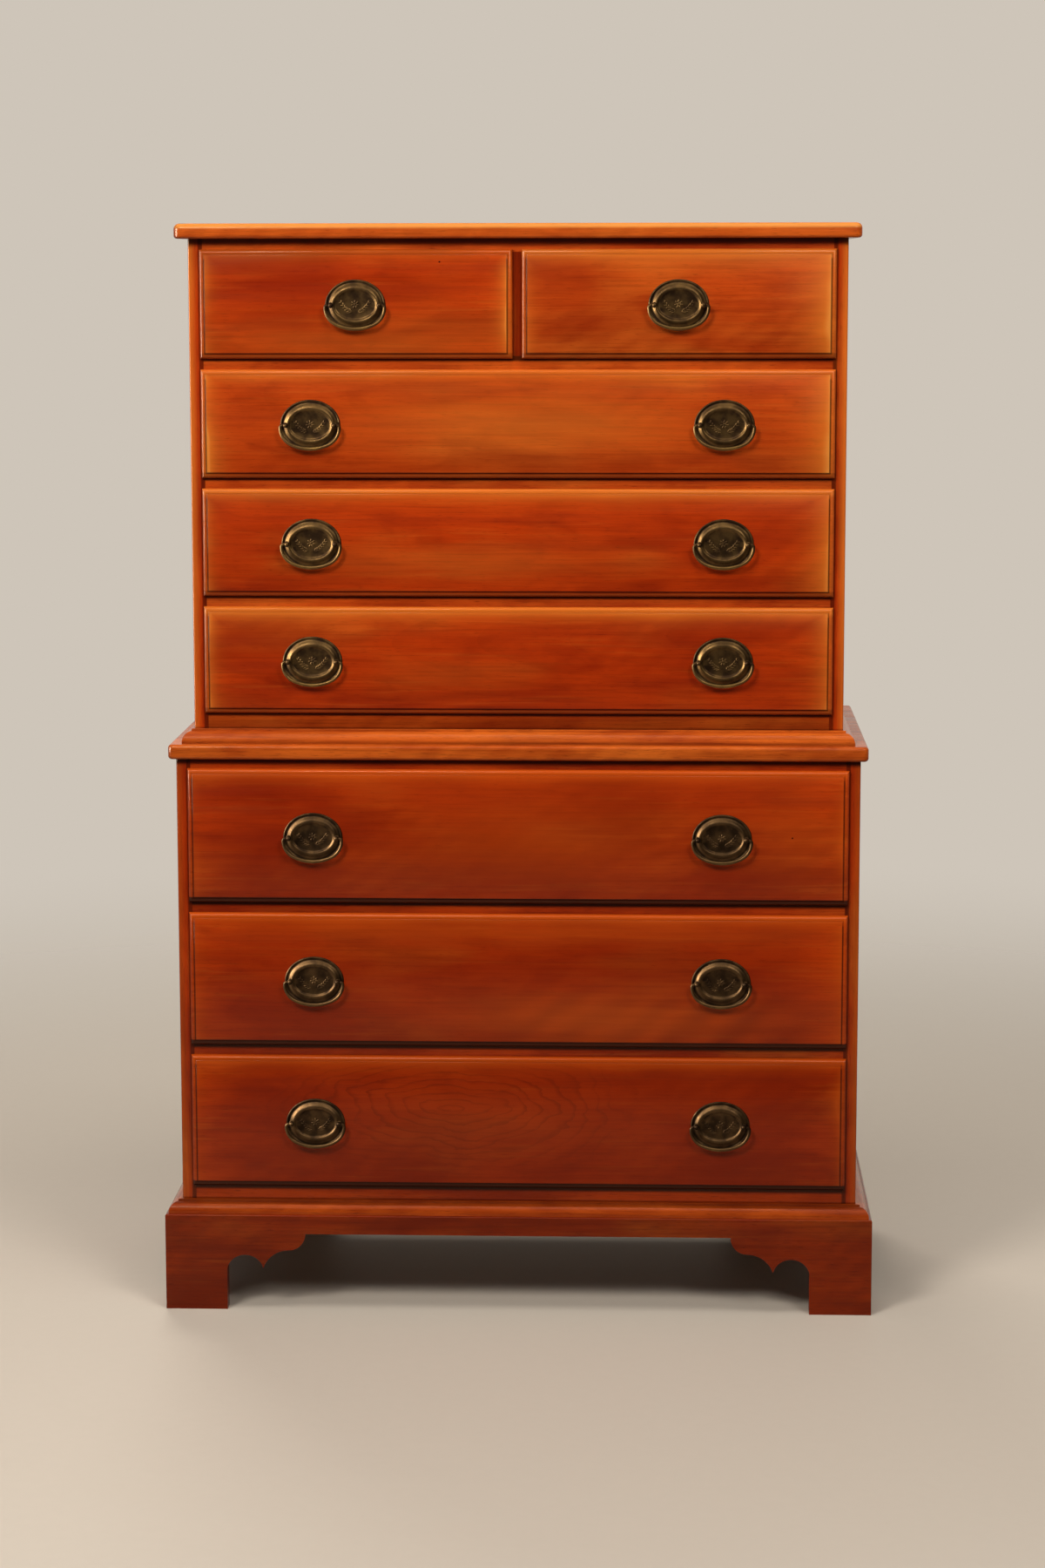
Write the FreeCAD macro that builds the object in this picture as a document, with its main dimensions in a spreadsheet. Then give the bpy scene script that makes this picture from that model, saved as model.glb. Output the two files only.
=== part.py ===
import FreeCAD, Part
import math
import os
import re
import Sketcher

# Chest on chest: an upper chest of four drawer rows that stands on a lower chest of three.
# Sizes are millimetres. X runs to the viewer's right, the front faces -Y and Z points up.
# The origin lies on the floor, under the middle of the whole object.

# Rows of drawers in each chest, and dovetails at each corner of their drawers
UPPER_ROWS = 4
LOWER_ROWS = 3
UPPER_TAILS = 3
LOWER_TAILS = 4
NUT_SIDES = 6

# Driving dimensions: alias, size, what it measures
SIZES = (
    ("lower_width", 873, "outside width of the lower case"),
    ("lower_depth", 430, "front frame to back of the lower case"),
    ("upper_width", 829, "outside width of the upper case"),
    ("upper_setback", 18.5, "upper front frame behind the lower one"),
    ("side_thickness", 18, "case sides"),
    ("side_round", 2, "eased outer front edge of a case side"),
    ("top_board_thickness", 19, "top board"),
    ("top_board_overhang", 16.4, "top board past the upper case"),
    ("top_board_upper_round", 7, "upper edge of the top board"),
    ("top_board_lower_round", 4, "lower edge of the top board"),
    ("waist_board_thickness", 19, "board between the chests"),
    ("waist_board_overhang", 9.5, "waist board past the lower case"),
    ("waist_board_round", 4.5, "both edges of the waist board"),
    ("board_corner_extra", 2, "plan corner radius past the larger edge radius"),
    ("back_thickness", 6, "back panels"),
    ("back_rabbet", 9, "width of the rabbet that takes a back panel"),
    ("panel_thickness", 9, "bottom panels of the cases"),
    ("plinth_height", 126, "bracket base, floor to its top edge"),
    ("plinth_thickness", 20.5, "front and side bracket boards"),
    ("plinth_round", 2.5, "outer top edge of the bracket boards"),
    ("case_drop", 20, "lower case below the top of the bracket base"),
    ("apron_height", 25, "bracket boards between their feet"),
    ("foot_width", 80, "bracket foot at the floor"),
    ("arch_span", 47, "arch beside the foot"),
    ("arch_radius", 24.4, "arch beside the foot"),
    ("cove_reach", 33, "cove from the cusp to its crown"),
    ("cove_height", 24, "cove from the cusp to its crown"),
    ("nose_radius", 22, "rounded nose at the apron"),
    ("rear_brace_length", 160, "rear brace inside the side bracket board"),
    ("rear_brace_thickness", 19, "rear brace"),
    ("glue_block", 40, "square section of the blocks in the feet"),
    ("glue_block_lift", 2, "glue blocks above the floor"),
    ("base_lip", 1.5, "upright edge under the base moulding's ovolo"),
    ("base_ovolo_height", 12.5, "base moulding's ovolo"),
    ("base_ovolo_reach", 11.5, "base moulding's ovolo"),
    ("base_fillet_height", 2.5, "square fillet on top of the base moulding"),
    ("base_fillet_reach", 5, "square fillet on top of the base moulding"),
    ("waist_lip", 1, "upright edge under the waist moulding's ovolo"),
    ("waist_ovolo_height", 14, "waist moulding's ovolo"),
    ("waist_ovolo_reach", 11.5, "waist moulding's ovolo"),
    ("waist_fillet_height", 3, "square fillet on top of the waist moulding"),
    ("waist_fillet_reach", 3.4, "square fillet on top of the waist moulding"),
    ("lower_base_reveal", 18.5, "lower bottom rail seen above the base moulding"),
    ("lower_lip_height", 173, "lower drawer front over its lips"),
    ("lower_lip_gap", 13.6, "between lower drawer fronts"),
    ("lower_top_reveal", 12, "lower top rail seen above the drawer"),
    ("upper_base_reveal", 20.3, "upper bottom rail seen above the waist moulding"),
    ("upper_lip_height", 136.5, "upper drawer front over its lips"),
    ("upper_lip_gap", 13.4, "between upper drawer fronts"),
    ("upper_top_reveal", 13.2, "upper top rail seen above the drawers"),
    ("partition_width", 18.4, "partition between the two top drawers"),
    ("rail_depth", 45, "front rails, front to back"),
    ("tenon_setback", 10, "rail tenon behind the front frame"),
    ("housing_depth", 7, "housing in a side that takes a rail tenon"),
    ("runner_width", 24, "side runners"),
    ("runner_height", 18, "side runners"),
    ("centre_runner_width", 64, "runner under the two top drawers"),
    ("guide_height", 20, "guide on the centre runner"),
    ("lip_overlay", 3.5, "drawer lip over the front frame"),
    ("lip_clearance", 0.3, "back of the lip from the front frame"),
    ("lip_thickness", 7.5, "drawer lip"),
    ("lip_round", 5, "quarter round along the lip"),
    ("field_inset", 6.4, "lip edge to the raised field"),
    ("field_step", 1.2, "raised field above the lip"),
    ("field_round", 0.8, "edge of the raised field"),
    ("front_core", 12, "drawer front inside its opening"),
    ("drawer_fit", 1, "drawer from the sides of its opening"),
    ("runner_fit", 0.3, "drawer sides above their runners"),
    ("box_top_gap", 5, "drawer sides below the top of their opening"),
    ("box_back_gap", 14, "drawer box from the case's back panel"),
    ("box_side_thickness", 11, "drawer sides"),
    ("box_back_thickness", 11, "drawer back"),
    ("box_back_drop", 6, "drawer back below the drawer sides"),
    ("box_bottom_thickness", 6, "drawer bottom panel"),
    ("box_bottom_lift", 11, "drawer bottom panel above the side's lower edge"),
    ("groove_depth", 5, "groove that takes the drawer bottom"),
    ("tail_length", 8, "dovetails at the drawer's front corners"),
    ("tail_flare", 1.6, "widening of a dovetail on each flank"),
    ("tail_width_share", 0.5, "dovetail root as a share of its pitch"),
    ("upper_pull_inset", 135.5, "pull from the side of a wide upper drawer's opening"),
    ("lower_pull_inset", 157.5, "pull from the side of a lower drawer's opening"),
    ("pull_drop", 1.3, "pull below the middle of its drawer"),
    ("plate_width", 76, "oval back plate"),
    ("plate_height", 64, "oval back plate"),
    ("plate_rise", 4.4, "back plate from the drawer to its highest ring"),
    ("post_offset", 30.5, "post from the middle of the plate"),
    ("post_radius", 2.3, "post"),
    ("post_fit", 0.15, "post in its holes"),
    ("post_tail", 1.5, "post past its nut"),
    ("ball_radius", 3.4, "ball head of a post"),
    ("pivot_standoff", 8.8, "bail pivot from the drawer's field"),
    ("nut_radius", 5.2, "nut over its corners"),
    ("nut_height", 3.5, "nut"),
    ("bail_half_width", 37.4, "bail from its middle to a side, along its rod's middle"),
    ("bail_drop", 29.5, "bail below its pivot, along its rod's middle"),
    ("bail_rod_radius", 2.1, "bail rod"),
    ("bail_bend_radius", 3.2, "bend from the pivot pin into the bail"),
    ("bail_side_radius", 23, "side arc of the bail"),
    ("bail_pin_radius", 1.4, "pivot pin of the bail"),
    ("bail_pin_length", 6, "pivot pin of the bail"),
    ("bail_pin_fit", 0.1, "pivot pin in its post"),
    ("overrun", 1, "how far a cut runs past the piece it cuts"),
)

# Rings of the oval plate, from its back to its dished middle:
# share of the half width, share of the half height, share of the rise
PLATE_RING_SHARES = (
    (1.00, 1.00, 0.00),
    (1.00, 1.00, 0.22),
    (0.965, 0.96, 0.42),
    (0.93, 0.92, 0.22),
    (0.84, 0.84, 0.28),
    (0.80, 0.80, 0.62),
    (0.75, 0.68, 1.00),
    (0.71, 0.58, 0.94),
    (0.68, 0.52, 0.60),
    (0.40, 0.30, 0.50),
)

# Heights, planes and sizes that follow from the driving dimensions: alias, sum
LEVELS = (
    ("lower_half", "lower_width / 2"),
    ("upper_half", "upper_width / 2"),
    ("lower_inner_half", "lower_half - side_thickness"),
    ("upper_inner_half", "upper_half - side_thickness"),
    ("upper_depth", "lower_depth - upper_setback"),
    ("back_y", "(plinth_thickness + lower_depth) / 2"),
    ("panel_y", "back_y - back_thickness"),
    ("lower_face_y", "back_y - lower_depth"),
    ("upper_face_y", "lower_face_y + upper_setback"),
    ("base_moulding_height", "base_lip + base_ovolo_height + base_fillet_height"),
    ("base_moulding_reach", "base_ovolo_reach + base_fillet_reach"),
    ("waist_moulding_height", "waist_lip + waist_ovolo_height + waist_fillet_height"),
    ("waist_moulding_reach", "waist_ovolo_reach + waist_fillet_reach"),
    ("apron_z", "plinth_height - apron_height"),
    ("foot_spring", "apron_z - nose_radius - cove_height"),
    ("cove_radius", "(cove_reach ^ 2 + cove_height ^ 2) / (2 * cove_height)"),
    ("lower_base_z", "plinth_height - case_drop"),
    ("lower_pitch", "lower_lip_height + lower_lip_gap"),
    ("lower_opening_z", "plinth_height + base_moulding_height + lower_base_reveal + lip_overlay"),
    ("lower_opening_height", "lower_lip_height - 2 * lip_overlay"),
    ("lower_opening_top", f"lower_opening_z + {LOWER_ROWS - 1} * lower_pitch + lower_opening_height"),
    ("waist_board_z", "lower_opening_top + lip_overlay + lower_top_reveal"),
    ("upper_base_z", "waist_board_z + waist_board_thickness"),
    ("upper_pitch", "upper_lip_height + upper_lip_gap"),
    ("upper_opening_z", "upper_base_z + waist_moulding_height + upper_base_reveal + lip_overlay"),
    ("upper_opening_height", "upper_lip_height - 2 * lip_overlay"),
    ("upper_opening_top", f"upper_opening_z + {UPPER_ROWS - 1} * upper_pitch + upper_opening_height"),
    ("top_row_z", f"upper_opening_z + {UPPER_ROWS - 1} * upper_pitch"),
    ("top_board_z", "upper_opening_top + lip_overlay + upper_top_reveal"),
    ("small_opening_width", "upper_inner_half - partition_width / 2"),
    ("small_drawer_x", "(upper_inner_half + partition_width / 2) / 2"),
    ("upper_box_length", "upper_depth - back_thickness - box_back_gap"),
    ("lower_box_length", "lower_depth - back_thickness - box_back_gap"),
    ("box_bottom_z", "runner_fit + box_bottom_lift"),
    ("field_rise", "lip_clearance + lip_thickness + field_step"),
    ("front_thickness", "field_rise + front_core"),
    ("upper_pull_x", "upper_inner_half - upper_pull_inset"),
    ("lower_pull_x", "lower_inner_half - lower_pull_inset"),
    ("bail_start", "bail_half_width - bail_bend_radius"),
    ("bail_arc_height", "bail_drop - bail_bend_radius"),
    ("bail_centre_x", "bail_half_width - bail_side_radius"),
    ("bail_base_radius", "(bail_centre_x ^ 2 + bail_arc_height ^ 2 - bail_side_radius ^ 2)"
                         " / (2 * (bail_arc_height - bail_side_radius))"),
    ("bail_base_z", "bail_base_radius - bail_drop"),
    ("bail_stretch", "bail_base_radius / (bail_base_radius - bail_side_radius)"),
    ("bail_tangent_x", "bail_centre_x * bail_stretch"),
    ("bail_tangent_z", "bail_base_z - (bail_base_z + bail_bend_radius) * bail_stretch"),
)

SIZE_NAMES = {alias for alias, size, meaning in SIZES}
LEVEL_NAMES = {alias for alias, total in LEVELS}

# The origin point and the two axes, as sketch constraints number them
ORIGIN = (-1, 1)
LEVEL_AXIS = -1
UPRIGHT_AXIS = -2
START, END, CENTRE = 1, 2, 3

# Closer than this, two edges count as lying in one plane
SAME_PLANE = 0.01

doc = FreeCAD.newDocument("ChestOnChest")
sheet = doc.addObject("Spreadsheet::Sheet", "Sizes")
levels = doc.addObject("Spreadsheet::Sheet", "Levels")
nodes = {}


def owner(match):
    """Puts the sheet's name before a size's or a level's alias."""
    word = match.group()
    if word in SIZE_NAMES:
        return f"Sizes.{word}"
    if word in LEVEL_NAMES:
        return f"Levels.{word}"
    raise KeyError(word)


def expression(words):
    """Turns a sum of aliases into an expression that a property can be bound to."""
    return re.sub(r"[a-z][a-z_]*", owner, str(words))


def number(words):
    """The present value of a sum of aliases."""
    return float(sheet.evalExpression(expression(words)))


def fill_sheets():
    """Writes the driving dimensions, and the levels that follow from them."""
    for row, (alias, size, meaning) in enumerate(SIZES, start=1):
        sheet.set(f"A{row}", meaning)
        sheet.set(f"B{row}", str(size))
        sheet.setAlias(f"B{row}", alias)
    doc.recompute()
    for row, (alias, total) in enumerate(LEVELS, start=1):
        levels.set(f"A{row}", "=" + re.sub(r"\bLevels\.", "", expression(total)))
        levels.setAlias(f"A{row}", alias)
    doc.recompute()


def place(thing, x=0, y=0, z=0):
    """Binds a thing's place to sums of aliases."""
    for axis, words in (("x", x), ("y", y), ("z", z)):
        if words != 0:
            thing.setExpression(f"Placement.Base.{axis}", expression(words))
    return thing


def box(name, x, y, z):
    """A square block between a low and a high plane along each axis."""
    block = doc.addObject("Part::Box", name)
    for side, (low, high) in (("Length", x), ("Width", y), ("Height", z)):
        block.setExpression(side, expression(f"({high}) - ({low})"))
    return place(block, x[0], y[0], z[0])


def rod(name, direction, radius, length, x=0, y=0, z=0):
    """A round rod from a point along a direction."""
    bar = doc.addObject("Part::Cylinder", name)
    bar.setExpression("Radius", expression(radius))
    bar.setExpression("Height", expression(length))
    turn = FreeCAD.Rotation(FreeCAD.Vector(0, 0, 1), FreeCAD.Vector(*direction))
    bar.Placement = FreeCAD.Placement(FreeCAD.Vector(), turn)
    return place(bar, x, y, z)


def cut(name, base, tools):
    """A piece with tools taken out of it, which have to reach it."""
    tool = tools[0] if len(tools) == 1 else gather(f"{name}_tools", tools)
    rest = doc.addObject("Part::Cut", name)
    rest.Base = base
    rest.Tool = tool
    doc.recompute()
    if rest.Shape.Volume >= base.Shape.Volume:
        raise ValueError(f"{name}: the cut misses its piece")
    return rest


def fuse(name, pieces):
    """One solid made of pieces that meet."""
    whole = doc.addObject("Part::MultiFuse", name)
    whole.Shapes = pieces
    whole.Refine = True
    return whole


def gather(name, pieces, x=0, y=0, z=0):
    """A group of separate solids that share one place."""
    group = doc.addObject("Part::Compound", name)
    group.Links = pieces
    return place(group, x, y, z)


def mirrored(name, source, x=0):
    """A piece's mirror image across an upright plane that faces sideways."""
    image = doc.addObject("Part::Mirroring", name)
    image.Source = source
    image.Normal = FreeCAD.Vector(1, 0, 0)
    if x != 0:
        image.setExpression("Base.x", expression(x))
    return image


def node(name, piece):
    """Names a finished piece, which is then written under that name."""
    piece.Label = name
    nodes[name] = piece
    return piece


def new_body(name, x=0, y=0, z=0):
    """An empty body at its place."""
    return place(doc.addObject("PartDesign::Body", name), x, y, z)


def sketch_on(body, role, offset=0):
    """A new sketch on one of a body's own planes, or moved off it along its normal."""
    sketch = body.newObject("Sketcher::SketchObject", f"{body.Name}_sketch")
    plane = next(item for item in body.Origin.OriginFeatures if item.Role == role)
    sketch.AttachmentSupport = [(plane, "")]
    sketch.MapMode = "FlatFace"
    if offset != 0:
        sketch.setExpression("AttachmentOffset.Base.z", expression(offset))
    return sketch


def bind(sketch, constraint, words):
    """Adds a constraint and ties its value to a sum of aliases."""
    index = sketch.addConstraint(constraint)
    sketch.renameConstraint(index, f"size_{index}")
    sketch.setExpression(f"Constraints.size_{index}", expression(words))


def pin(sketch, point, u, v):
    """Ties a point of a sketch to the origin, along both of the sketch's axes."""
    for kind, axis, words in (("DistanceX", UPRIGHT_AXIS, u), ("DistanceY", LEVEL_AXIS, v)):
        value = number(words)
        if abs(value) < SAME_PLANE / 1000:
            sketch.addConstraint(Sketcher.Constraint("PointOnObject", *point, axis))
        elif value > 0:
            bind(sketch, Sketcher.Constraint(kind, *ORIGIN, *point, value), words)
        else:
            bind(sketch, Sketcher.Constraint(kind, *point, *ORIGIN, -value), f"-({words})")


def add_arc(sketch, start, end, radius, side):
    """Adds an arc that bulges to the left (side 1) or the right (side -1) of its way."""
    chord = end - start
    half = chord.Length / 2
    rise = radius - math.sqrt(max(radius ** 2 - half ** 2, 0))
    across = FreeCAD.Vector(-chord.y, chord.x, 0).normalize()
    middle = (start + end) / 2 + across * (side * rise)
    index = sketch.addGeometry(Part.Arc(start, middle, end), False)
    forward = sketch.getPoint(index, START).distanceToPoint(start) < half
    return index, (START, END) if forward else (END, START)


def draw(sketch, corners, arcs=None, closed=True):
    """Draws straight and round stretches from corner to corner.

    A stretch is named in arcs by its first corner's place in the list, with its radius and
    the side it bulges to.
    """
    arcs = arcs or {}
    points = [FreeCAD.Vector(number(u), number(v), 0) for u, v in corners]
    count = len(corners) if closed else len(corners) - 1
    stretches = []
    for first in range(count):
        start = points[first]
        end = points[(first + 1) % len(points)]
        if first in arcs:
            radius, side = arcs[first]
            stretches.append(add_arc(sketch, start, end, number(radius), side))
        else:
            stretches.append((sketch.addGeometry(Part.LineSegment(start, end), False), (START, END)))
    for first, (index, ends) in enumerate(stretches):
        if closed or first + 1 < count:
            following, next_ends = stretches[(first + 1) % count]
            sketch.addConstraint(Sketcher.Constraint("Coincident", index, ends[1], following, next_ends[0]))
        pin(sketch, (index, ends[0]), *corners[first])
        if first in arcs:
            bind(sketch, Sketcher.Constraint("Radius", index, number(arcs[first][0])), arcs[first][0])
    if not closed:
        index, ends = stretches[-1]
        pin(sketch, (index, ends[1]), *corners[-1])
    return sketch


def rectangle(sketch, u, v):
    """Draws a rectangle between a low and a high line along each of the sketch's axes."""
    return draw(sketch, [(u[0], v[0]), (u[1], v[0]), (u[1], v[1]), (u[0], v[1])])


def circle(sketch, radius, u, v):
    """Draws a circle round a point."""
    middle = FreeCAD.Vector(number(u), number(v), 0)
    index = sketch.addGeometry(Part.Circle(middle, FreeCAD.Vector(0, 0, 1), number(radius)), False)
    pin(sketch, (index, CENTRE), u, v)
    bind(sketch, Sketcher.Constraint("Radius", index, number(radius)), radius)
    return sketch


def pad(body, sketch, length, reverse=False):
    """Thickens a sketch along its normal, or the other way."""
    block = body.newObject("PartDesign::Pad", f"{body.Name}_pad")
    block.Profile = sketch
    block.setExpression("Length", expression(length))
    block.Reversed = reverse
    return block


def pocket(body, sketch, depth, reverse=False):
    """Cuts a sketch against its normal, or along it; a cut that misses is an error."""
    doc.recompute()
    before = body.Shape.Volume
    hollow = body.newObject("PartDesign::Pocket", f"{body.Name}_pocket")
    hollow.Profile = sketch
    hollow.setExpression("Length", expression(depth))
    hollow.Reversed = reverse
    doc.recompute()
    if body.Shape.Volume >= before:
        raise ValueError(f"{body.Name}: the pocket misses the body")
    return hollow


def in_plane(bounds, axis, words):
    """True where a box of bounds lies in one plane across an axis."""
    value = number(words)
    low = getattr(bounds, f"{axis}Min")
    high = getattr(bounds, f"{axis}Max")
    return abs(low - value) < SAME_PLANE and abs(high - value) < SAME_PLANE


def round_edges(body, radius, chosen):
    """Rounds those edges of a body whose bounds a test chooses."""
    doc.recompute()
    base = body.Tip
    edges = enumerate(base.Shape.Edges, start=1)
    names = [f"Edge{index}" for index, edge in edges if chosen(edge.BoundBox)]
    fillet = body.newObject("PartDesign::Fillet", f"{body.Name}_round")
    fillet.Base = (base, names)
    fillet.setExpression("Radius", expression(radius))
    return fillet


def mitre(body, triangle, height):
    """Cuts a corner, seen from above, off the end of a strip."""
    pocket(body, draw(sketch_on(body, "XY_Plane"), triangle), f"({height}) + overrun", reverse=True)


def mitre_front(body, length, reach, height):
    """Mitres both ends of a front strip, whose back lies along the body's X axis."""
    left = [("-overrun", f"-{reach} - overrun"), (f"{reach} + overrun", "overrun"), ("-overrun", "overrun")]
    right = [(f"{length} - ({u})", v) for u, v in reversed(left)]
    mitre(body, left, height)
    mitre(body, right, height)


def mitre_side(body, reach, height):
    """Mitres the front end of a right-hand strip that starts at the body's origin."""
    past = f"{reach} + overrun"
    mitre(body, [("-overrun", "-overrun"), (past, "-overrun"), ("-overrun", past)], height)


def rail_levels(rows, base, opening, height, pitch, top):
    """Low and high planes of a case's front rails, from the bottom up."""
    levels_up = [(base, opening)]
    for row in range(1, rows):
        foot = f"{opening} + {row} * {pitch}"
        levels_up.append((f"{foot} - {pitch} + {height}", foot))
    levels_up.append((f"{opening} + {rows - 1} * {pitch} + {height}", top))
    return levels_up


LOWER_RAILS = rail_levels(LOWER_ROWS, "lower_base_z", "lower_opening_z", "lower_opening_height",
                          "lower_pitch", "waist_board_z")
UPPER_RAILS = rail_levels(UPPER_ROWS, "upper_base_z", "upper_opening_z", "upper_opening_height",
                          "upper_pitch", "top_board_z")


def make_sides(chest, half, depth, face, base, top, rails):
    """Both sides of a case, housed for its rails and rabbeted for its back panel."""
    height = f"{top} - {base}"
    side = new_body(f"{chest}_side", f"{half} - side_thickness", face, base)
    pad(side, rectangle(sketch_on(side, "YZ_Plane"), (0, depth), (0, height)), "side_thickness")
    for low, high in rails:
        tenon = (f"({low}) - {base}", f"({high}) - {base}")
        housing = rectangle(sketch_on(side, "YZ_Plane"), ("tenon_setback", "rail_depth"), tenon)
        pocket(side, housing, "housing_depth", reverse=True)
    rabbet = rectangle(sketch_on(side, "YZ_Plane"), (f"{depth} - back_thickness", depth), (0, height))
    pocket(side, rabbet, "back_rabbet", reverse=True)
    round_edges(side, "side_round", lambda edge: (
        in_plane(edge, "X", "side_thickness") and in_plane(edge, "Y", 0)))
    node(f"{chest}_right_side", side)
    node(f"{chest}_left_side", mirrored(f"{chest}_side_mirror", side))


def make_rails(chest, half, face, rails):
    """The rails across a case's front, with tenons that are set back from the frame."""
    bars = []
    for low, high in rails:
        bar = new_body(f"{chest}_rail_{len(bars)}", 0, face, low)
        end = f"{half} + housing_depth"
        plan = [
            (f"-{half}", 0), (half, 0), (half, "tenon_setback"), (end, "tenon_setback"),
            (end, "rail_depth"), (f"-({end})", "rail_depth"), (f"-({end})", "tenon_setback"),
            (f"-{half}", "tenon_setback"),
        ]
        pad(bar, draw(sketch_on(bar, "XY_Plane"), plan), f"({high}) - ({low})")
        bars.append(bar)
    node(f"{chest}_drawer_rails", gather(f"{chest}_rail_group", bars))


def make_inside(chest, half, face, base, rails):
    """Runners and kickers along the sides, the bottom panel and the back panel of a case."""
    span = (f"{face} + rail_depth", "panel_y")
    flights = [(f"{high} - runner_height", high) for low, high in rails[:-1]] + [rails[-1]]
    strips = []
    for low, high in flights:
        for x in ((f"{half} - runner_width", half), (f"-{half}", f"runner_width - {half}")):
            strips.append(box(f"{chest}_runner_{len(strips)}", x, span, (low, high)))
    node(f"{chest}_runners", gather(f"{chest}_runner_group", strips))
    across = (f"-{half}", half)
    floor = flights[0][0]
    panel = box(f"{chest}_bottom_panel", across, span, (f"{floor} - panel_thickness", floor))
    node(f"{chest}_bottom_panel", panel)
    wide = (f"-{half} - back_rabbet", f"{half} + back_rabbet")
    back = box(f"{chest}_back_panel", wide, ("panel_y", "back_y"), (base, rails[-1][1]))
    node(f"{chest}_back_panel", back)


def make_partition():
    """The partition between the two top drawers, with the runner, guide and kicker behind it."""
    thin = ("-partition_width / 2", "partition_width / 2")
    broad = ("-centre_runner_width / 2", "centre_runner_width / 2")
    behind = ("upper_face_y + rail_depth", "panel_y")
    pieces = [
        box("partition_post", thin, ("upper_face_y", "upper_face_y + rail_depth"),
            ("top_row_z", "upper_opening_top")),
        box("centre_runner", broad, behind, ("top_row_z - runner_height", "top_row_z")),
        box("centre_guide", thin, behind, ("top_row_z", "top_row_z + guide_height")),
        box("centre_kicker", broad, behind, ("upper_opening_top", "top_board_z")),
    ]
    node("top_drawer_partition", gather("partition_group", pieces))


def make_board(name, half, face, overhang, base, thickness, upper_round, lower_round):
    """A top board with rounded front and side edges, flush with the back of the case."""
    wide = f"{half} + {overhang}"
    corner = f"{upper_round} + board_corner_extra"
    board = new_body(f"{name}_body", 0, f"{face} - {overhang}", base)
    depth = f"back_y - {face} + {overhang}"
    pad(board, rectangle(sketch_on(board, "XY_Plane"), (f"-({wide})", wide), (0, depth)), thickness)
    round_edges(board, corner, lambda edge: in_plane(edge, "Y", 0) and (
        in_plane(edge, "X", wide) or in_plane(edge, "X", f"-({wide})")))
    for level, radius in ((thickness, upper_round), (0, lower_round)):
        round_edges(board, radius, lambda edge, plane=level: (
            in_plane(edge, "Z", plane) and not in_plane(edge, "Y", depth)))
    node(name, board)


def moulding_profile(style, out):
    """Corners and ovolo of a moulding's section, standing out along the sketch's first axis."""
    reach = f"{out}({style}_fillet_reach + {style}_ovolo_reach)"
    ledge = f"{out}{style}_fillet_reach"
    ovolo_top = f"{style}_lip + {style}_ovolo_height"
    corners = [
        (0, 0), (reach, 0), (reach, f"{style}_lip"), (ledge, ovolo_top),
        (ledge, f"{style}_moulding_height"), (0, f"{style}_moulding_height"),
    ]
    return corners, {2: (f"{style}_ovolo_height", 1 if out == "-" else -1)}


def make_moulding(style, half, face, base):
    """Three mitred strips of one moulding, round the front and sides of a case."""
    reach = f"{style}_moulding_reach"
    height = f"{style}_moulding_height"
    length = f"2 * ({half} + {reach})"
    front = new_body(f"{style}_moulding_front", f"-{half} - {reach}", face, base)
    pad(front, draw(sketch_on(front, "YZ_Plane"), *moulding_profile(style, "-")), length)
    mitre_front(front, length, reach, height)
    side_length = f"back_y - {face} + {reach}"
    side = new_body(f"{style}_moulding_side", half, f"{face} - {reach}", base)
    section = draw(sketch_on(side, "XZ_Plane"), *moulding_profile(style, ""))
    pad(side, section, side_length, reverse=True)
    mitre_side(side, reach, height)
    strips = [front, side, mirrored(f"{style}_moulding_mirror", side)]
    node(f"{style}_moulding", gather(f"{style}_moulding_group", strips))


def bracket_outline(length):
    """Corners and arcs of a bracket board that stands on a scrolled foot at each end."""
    cusp = "foot_width + arch_span"
    crown = f"{cusp} + cove_reach"
    apron = f"{crown} + nose_radius"
    crown_z = "foot_spring + cove_height"
    foot = [
        ("foot_width", 0), ("foot_width", "foot_spring"), (cusp, "foot_spring"), (crown, crown_z),
        (apron, "apron_z"),
    ]
    other = [(f"{length} - ({u})", v) for u, v in reversed(foot)]
    corners = [(0, 0)] + foot + other + [(length, 0), (length, "plinth_height"), (0, "plinth_height")]
    arcs = {
        2: ("arch_radius", 1), 3: ("cove_radius", 1), 4: ("nose_radius", -1),
        6: ("nose_radius", -1), 7: ("cove_radius", 1), 8: ("arch_radius", 1),
    }
    return corners, arcs


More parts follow.
